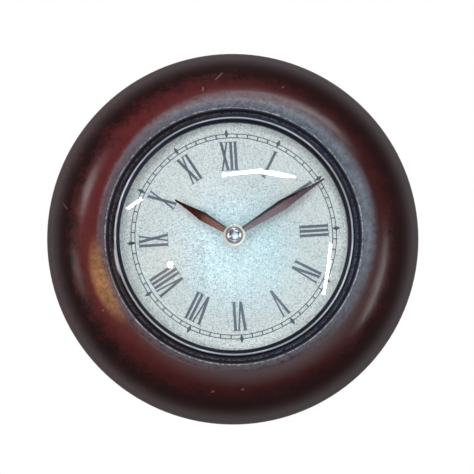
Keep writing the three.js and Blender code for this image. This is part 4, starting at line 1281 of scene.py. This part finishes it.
class CLOCK_OT_stage(bpy.types.Operator):
    """Set up the camera, lamps, backdrop and floor"""

    bl_idname = "clock.stage"
    bl_label = "Studio"

    # Camera, in metres and degrees
    view_distance = 0.4717
    view_below = 3.6
    view_side = -1.7
    view_roll = -4.36
    view_angle = 30.57
    aim = Vector((1.73 * MM, -20 * MM, -0.36 * MM))

    # Wall and floor of the studio, in metres
    wall_size = 6
    wall_place = (0, 1.6, 0)
    floor_size = 8
    floor_place = (0, 0, -2.2)

    # Light of the room, from behind the camera at 0 to behind the wall at 1
    room_light = (
        (0, (0.045, 0.048, 0.055)), (0.3, (0.05, 0.05, 0.055)), (0.4, (0.25, 0.24, 0.25)),
        (0.5, (0.52, 0.5, 0.52)), (0.66, (0.68, 0.65, 0.68)), (0.76, (0.4, 0.37, 0.39)),
        (1, (0.14, 0.12, 0.125)),
    )

    # Soft fills in front: degrees to the right and upwards, and brightness
    fills = ((0, 56, 7.6), (-50, 0, 8.2), (0, -50, 2.6), (50, 0, 5))
    fill_distance = 2
    fill_size = 0.7
    fill_tint = (0.96, 0.99, 1)

    # Fills behind the clock: places in metres
    rear_places = ((-1.2, 1.5, 1.1), (1.2, 1.5, 1.1))
    rear_size = 0.8
    rear_brightness = 9
    rear_tint = (1, 0.98, 0.95)

    # Warm pool of light on the dial, left of the axis, and the direction it comes from in degrees
    pool_side = -10 * MM
    pool_direction = (-4, -46)
    pool_distance = 0.7
    pool_cone = radians(4.4)
    pool_softness = 0.006
    pool_energy = 7
    pool_tint = (1, 0.7, 0.68)

    # Window at the left
    window_direction = (-47, -3)
    window_distance = 1.2
    window_size = 0.18
    window_brightness = 3
    window_tint = (1, 0.98, 0.96)

    # Lamps whose images show on the glass: spots in millimetres right and up of the axis
    lamp_reach = 1.0
    bulb_spot = (-34.6, -13.4)
    bulb_size = 0.045
    bulb_brightness = 11
    bulb_tint = (1, 0.8, 0.64)

    # Strips by the two ends of their images, width of the image, brightness and shape
    strip_tint = (1, 0.99, 1)
    strips = (
        ("top_strip_1", (-4.2, 31.5), (17.5, 32.6), 2.7, 22, "RECTANGLE"),
        ("top_strip_2", (11.0, 33.0), (35.0, 27.9), 3.5, 22, "ELLIPSE"),
        ("right_strip", (50.6, -8.2), (44.6, -35.0), 2.3, 34, "RECTANGLE"),
        ("left_strip", (-47.3, 22.7), (-55.6, 18.1), 2.2, 70, "RECTANGLE"),
    )

    # Round panels by the spot of their image, radius, brightness and tint
    panel_reach = 1.3
    glows = (
        ("soft_panel", (7, -16), 0.68, 1.6, (0.78, 0.96, 1)),
        ("warm_shade", (-35, -12), 0.3, 0.9, (1, 0.5, 0.2)),
    )

    def execute(self, context):
        scene = context.scene
        scene.view_settings.view_transform = "Standard"
        self.camera(scene)
        self.backdrop()
        self.room(scene)
        self.lamps()
        return {"FINISHED"}

    @staticmethod
    def outward(side, up):
        """Direction from the clock, by degrees to the right and upwards of straight out."""
        a, e = radians(side), radians(up)
        return Vector((sin(a) * cos(e), -cos(a) * cos(e), sin(e)))

    def eye(self):
        """Place of the camera."""
        return self.aim + self.outward(self.view_side, -self.view_below) * self.view_distance

    def camera(self, scene):
        """A camera a little below the clock and to its left, slightly rolled."""
        clear_selection()
        bpy.ops.object.camera_add(location=self.eye())
        camera = bpy.context.object
        camera.rotation_mode = "QUATERNION"
        roll = Matrix.Rotation(radians(self.view_roll), 4, "Z").to_quaternion()
        camera.rotation_quaternion = (self.aim - self.eye()).to_track_quat("-Z", "Y") @ roll
        camera.data.angle = radians(self.view_angle)
        scene.camera = camera

    def backdrop(self):
        """A white wall and a pale floor that aren't seen in reflections."""
        finish = Finish("white_backdrop")
        seen = finish.rays("Camera", "Transmission")
        white = finish.add("ShaderNodeEmission", {}, {"Color": (1, 1, 1, 1), "Strength": 1.0})
        plain = finish.add("ShaderNodeBsdfDiffuse", {}, {"Color": (0.8, 0.8, 0.8, 1)})
        wall = finish.done(finish.add("ShaderNodeMixShader", {}, {0: seen, 1: plain, 2: white}))
        panels = (
            self.panel("studio_wall", self.wall_size, self.wall_place, TO_FRONT, wall),
            self.panel("studio_floor", self.floor_size, self.floor_place, (0, 0, 0), self.floor_finish()),
        )
        for panel in panels:
            panel.visible_glossy = False

    @staticmethod
    def panel(name, size, place, turn, finish):
        """A square sheet of the studio."""
        clear_selection()
        bpy.ops.mesh.primitive_plane_add(size=size, location=place, rotation=turn)
        panel = bpy.context.object
        panel.name = name
        apply_place(panel)
        panel.data.materials.append(finish)
        return panel

    @staticmethod
    def floor_finish():
        """Pale, slightly clouded floor, a little brighter to the camera."""
        finish = Finish("pale_floor")
        cloud = finish.noise(3, 2)
        tone = finish.mix(cloud, (0.72, 0.72, 0.72), (0.76, 0.76, 0.76))
        shown = finish.mix(cloud, (0.8, 0.8, 0.8), (0.84, 0.84, 0.84))
        plain = finish.surface(Base_Color=tone, Roughness=0.8 + 0.05 * cloud)
        pale = finish.add("ShaderNodeEmission", {}, {"Color": shown})
        seen = finish.rays("Camera")
        return finish.done(finish.add("ShaderNodeMixShader", {}, {0: seen, 1: plain, 2: pale}))

    def room(self, scene):
        """A room that is dim behind the camera, light at the sides and white to look at."""
        world = bpy.data.worlds.new("studio")
        finish = Finish("studio", world)
        _, back, _ = finish.axes()
        light = finish.add("ShaderNodeValToRGB", {"stops": self.room_light}, {"Fac": back * 0.5 + 0.5})
        tone = finish.mix(finish.rays("Camera"), light, (1, 1, 1))
        shine = finish.add("ShaderNodeBackground", {}, {"Color": tone, "Strength": 1.0})
        finish.add("ShaderNodeOutputWorld", {}, {"Surface": shine})
        scene.world = world

    def lamps(self):
        """Fills and a pool of light that aren't seen in reflections, and lamps that are."""
        hidden = []
        for number, (side, up, brightness) in enumerate(self.fills, 1):
            name, place = f"soft_fill_{number}", self.outward(side, up) * self.fill_distance
            hidden.append(self.lamp(name, place, self.fill_size, brightness, self.fill_tint))
        for number, place in enumerate(self.rear_places, 1):
            name, brightness = f"rear_fill_{number}", self.rear_brightness
            hidden.append(self.lamp(name, Vector(place), self.rear_size, brightness, self.rear_tint))
        for lamp in (*hidden, self.pool()):
            lamp.visible_glossy = False
            lamp.visible_camera = False
        place = self.mirrored(self.bulb_spot, self.lamp_reach)
        bulb = self.lamp("warm_bulb", place, self.bulb_size, self.bulb_brightness, self.bulb_tint)
        bulb.data.shape = "DISK"
        place = self.outward(*self.window_direction) * self.window_distance
        self.lamp("side_window", place, self.window_size, self.window_brightness, self.window_tint)
        for strip in self.strips:
            self.strip(*strip)
        for glow in self.glows:
            self.glow(*glow)

    def pool(self):
        """A narrow warm spot lamp that lights the dial to the left of the hands' axis."""
        spot = Vector((self.pool_side, -dial_face, 0))
        place = spot + self.outward(*self.pool_direction) * self.pool_distance
        clear_selection()
        bpy.ops.object.light_add(type="SPOT", location=place)
        lamp = bpy.context.object
        lamp.name = "dial_pool"
        lamp.rotation_mode = "QUATERNION"
        lamp.rotation_quaternion = (spot - place).to_track_quat("-Z", "Y")
        lamp.data.spot_size = self.pool_cone
        lamp.data.spot_blend = 1
        lamp.data.shadow_soft_size = self.pool_softness
        lamp.data.energy = self.pool_energy
        lamp.data.color = self.pool_tint
        return lamp

    def mirrored(self, spot, reach):
        """Where a lamp is whose image shows at a spot of the glass, in millimetres."""
        x, z = spot[0] * MM, spot[1] * MM
        place = Vector((x, -dome_height(hypot(x, z)), z))
        middle = Vector((0, dome_radius() - glass_front, 0))
        ray = (place - self.eye()).normalized()
        return place + ray.reflect((place - middle).normalized()) * reach

    def strip(self, name, start, end, width, brightness, shape):
        """A strip lamp whose image on the glass runs between two spots."""
        reach = self.lamp_reach
        first, last = self.mirrored(start, reach), self.mirrored(end, reach)
        across = 2 * reach * width * MM / dome_radius()
        along = (last - first).normalized()
        middle = (first + last) / 2
        lamp = self.lamp(name, middle, (last - first).length, brightness, self.strip_tint, across)
        lamp.data.shape = shape
        out = middle.normalized()
        side = out.cross(along).normalized()
        turn = Matrix((along, side, along.cross(side))).transposed().to_quaternion()
        if (turn @ Vector((0, 0, -1))).dot(out) > 0:
            turn = turn @ Matrix.Rotation(pi, 4, "X").to_quaternion()
        lamp.rotation_quaternion = turn

    def glow(self, name, spot, reach, brightness, tint):
        """A round panel, brightest in its middle, that shines off a spot of the glass."""
        middle = self.mirrored(spot, self.panel_reach)
        finish = Finish(name)
        offset = finish.add(
            "ShaderNodeVectorMath", {"operation": "DISTANCE"}, {0: finish.place, 1: middle}, output="Value"
        )
        tone = finish.mix(offset.ease(reach, 0.0), (0, 0, 0), tint)
        shine = finish.add("ShaderNodeEmission", {}, {"Color": tone, "Strength": brightness})
        turn = (-middle).to_track_quat("Z", "Y").to_euler()
        panel = self.panel(name, 2 * reach, middle, turn, finish.done(shine))
        panel.visible_camera = False

    def lamp(self, name, place, width, brightness, tint, height=None):
        """A lamp that faces the dial, by its place, its size and how bright its face is."""
        height = height or width
        clear_selection()
        bpy.ops.object.light_add(type="AREA", location=place)
        lamp = bpy.context.object
        lamp.name = name
        lamp.rotation_mode = "QUATERNION"
        lamp.rotation_quaternion = (-place).to_track_quat("-Z", "Y")
        lamp.data.shape = "RECTANGLE"
        lamp.data.size = width
        lamp.data.size_y = height
        lamp.data.energy = brightness * pi * width * height
        lamp.data.color = tint
        return lamp


class CLOCK_PT_panel(bpy.types.Panel):
    """Clock pieces, sizes and colours"""

    bl_label = "Wall clock"
    bl_idname = "CLOCK_PT_panel"
    bl_space_type = "VIEW_3D"
    bl_region_type = "UI"
    bl_category = "Clock"

    def draw(self, context):
        layout = self.layout
        for group in (context.scene.clock_sizes, context.scene.clock_colours):
            for name in group.__annotations__:
                layout.prop(group, name)
        for operator in OPERATORS:
            layout.operator(operator.bl_idname)


OPERATORS = (
    CLOCK_OT_case_ring,
    CLOCK_OT_bezel,
    CLOCK_OT_glass,
    CLOCK_OT_dial,
    CLOCK_OT_hands,
    CLOCK_OT_hanger,
    CLOCK_OT_cell,
    CLOCK_OT_frame_finishes,
    CLOCK_OT_stage,
)
CLASSES = (ClockSizes, ClockColours, *OPERATORS, CLOCK_PT_panel)


def register():
    for each in CLASSES:
        bpy.utils.register_class(each)
    bpy.types.Scene.clock_sizes = bpy.props.PointerProperty(type=ClockSizes)
    bpy.types.Scene.clock_colours = bpy.props.PointerProperty(type=ClockColours)


def unregister():
    del bpy.types.Scene.clock_colours
    del bpy.types.Scene.clock_sizes
    for each in reversed(CLASSES):
        bpy.utils.unregister_class(each)


def main():
    register()
    bpy.ops.clock.case_ring()
    bpy.ops.clock.bezel()
    bpy.ops.clock.glass()
    bpy.ops.clock.dial()
    bpy.ops.clock.hands()
    bpy.ops.clock.hanger()
    bpy.ops.clock.cell()
    bpy.ops.clock.frame_finishes()
    bpy.ops.clock.stage()


if __name__ == "__main__":
    main()
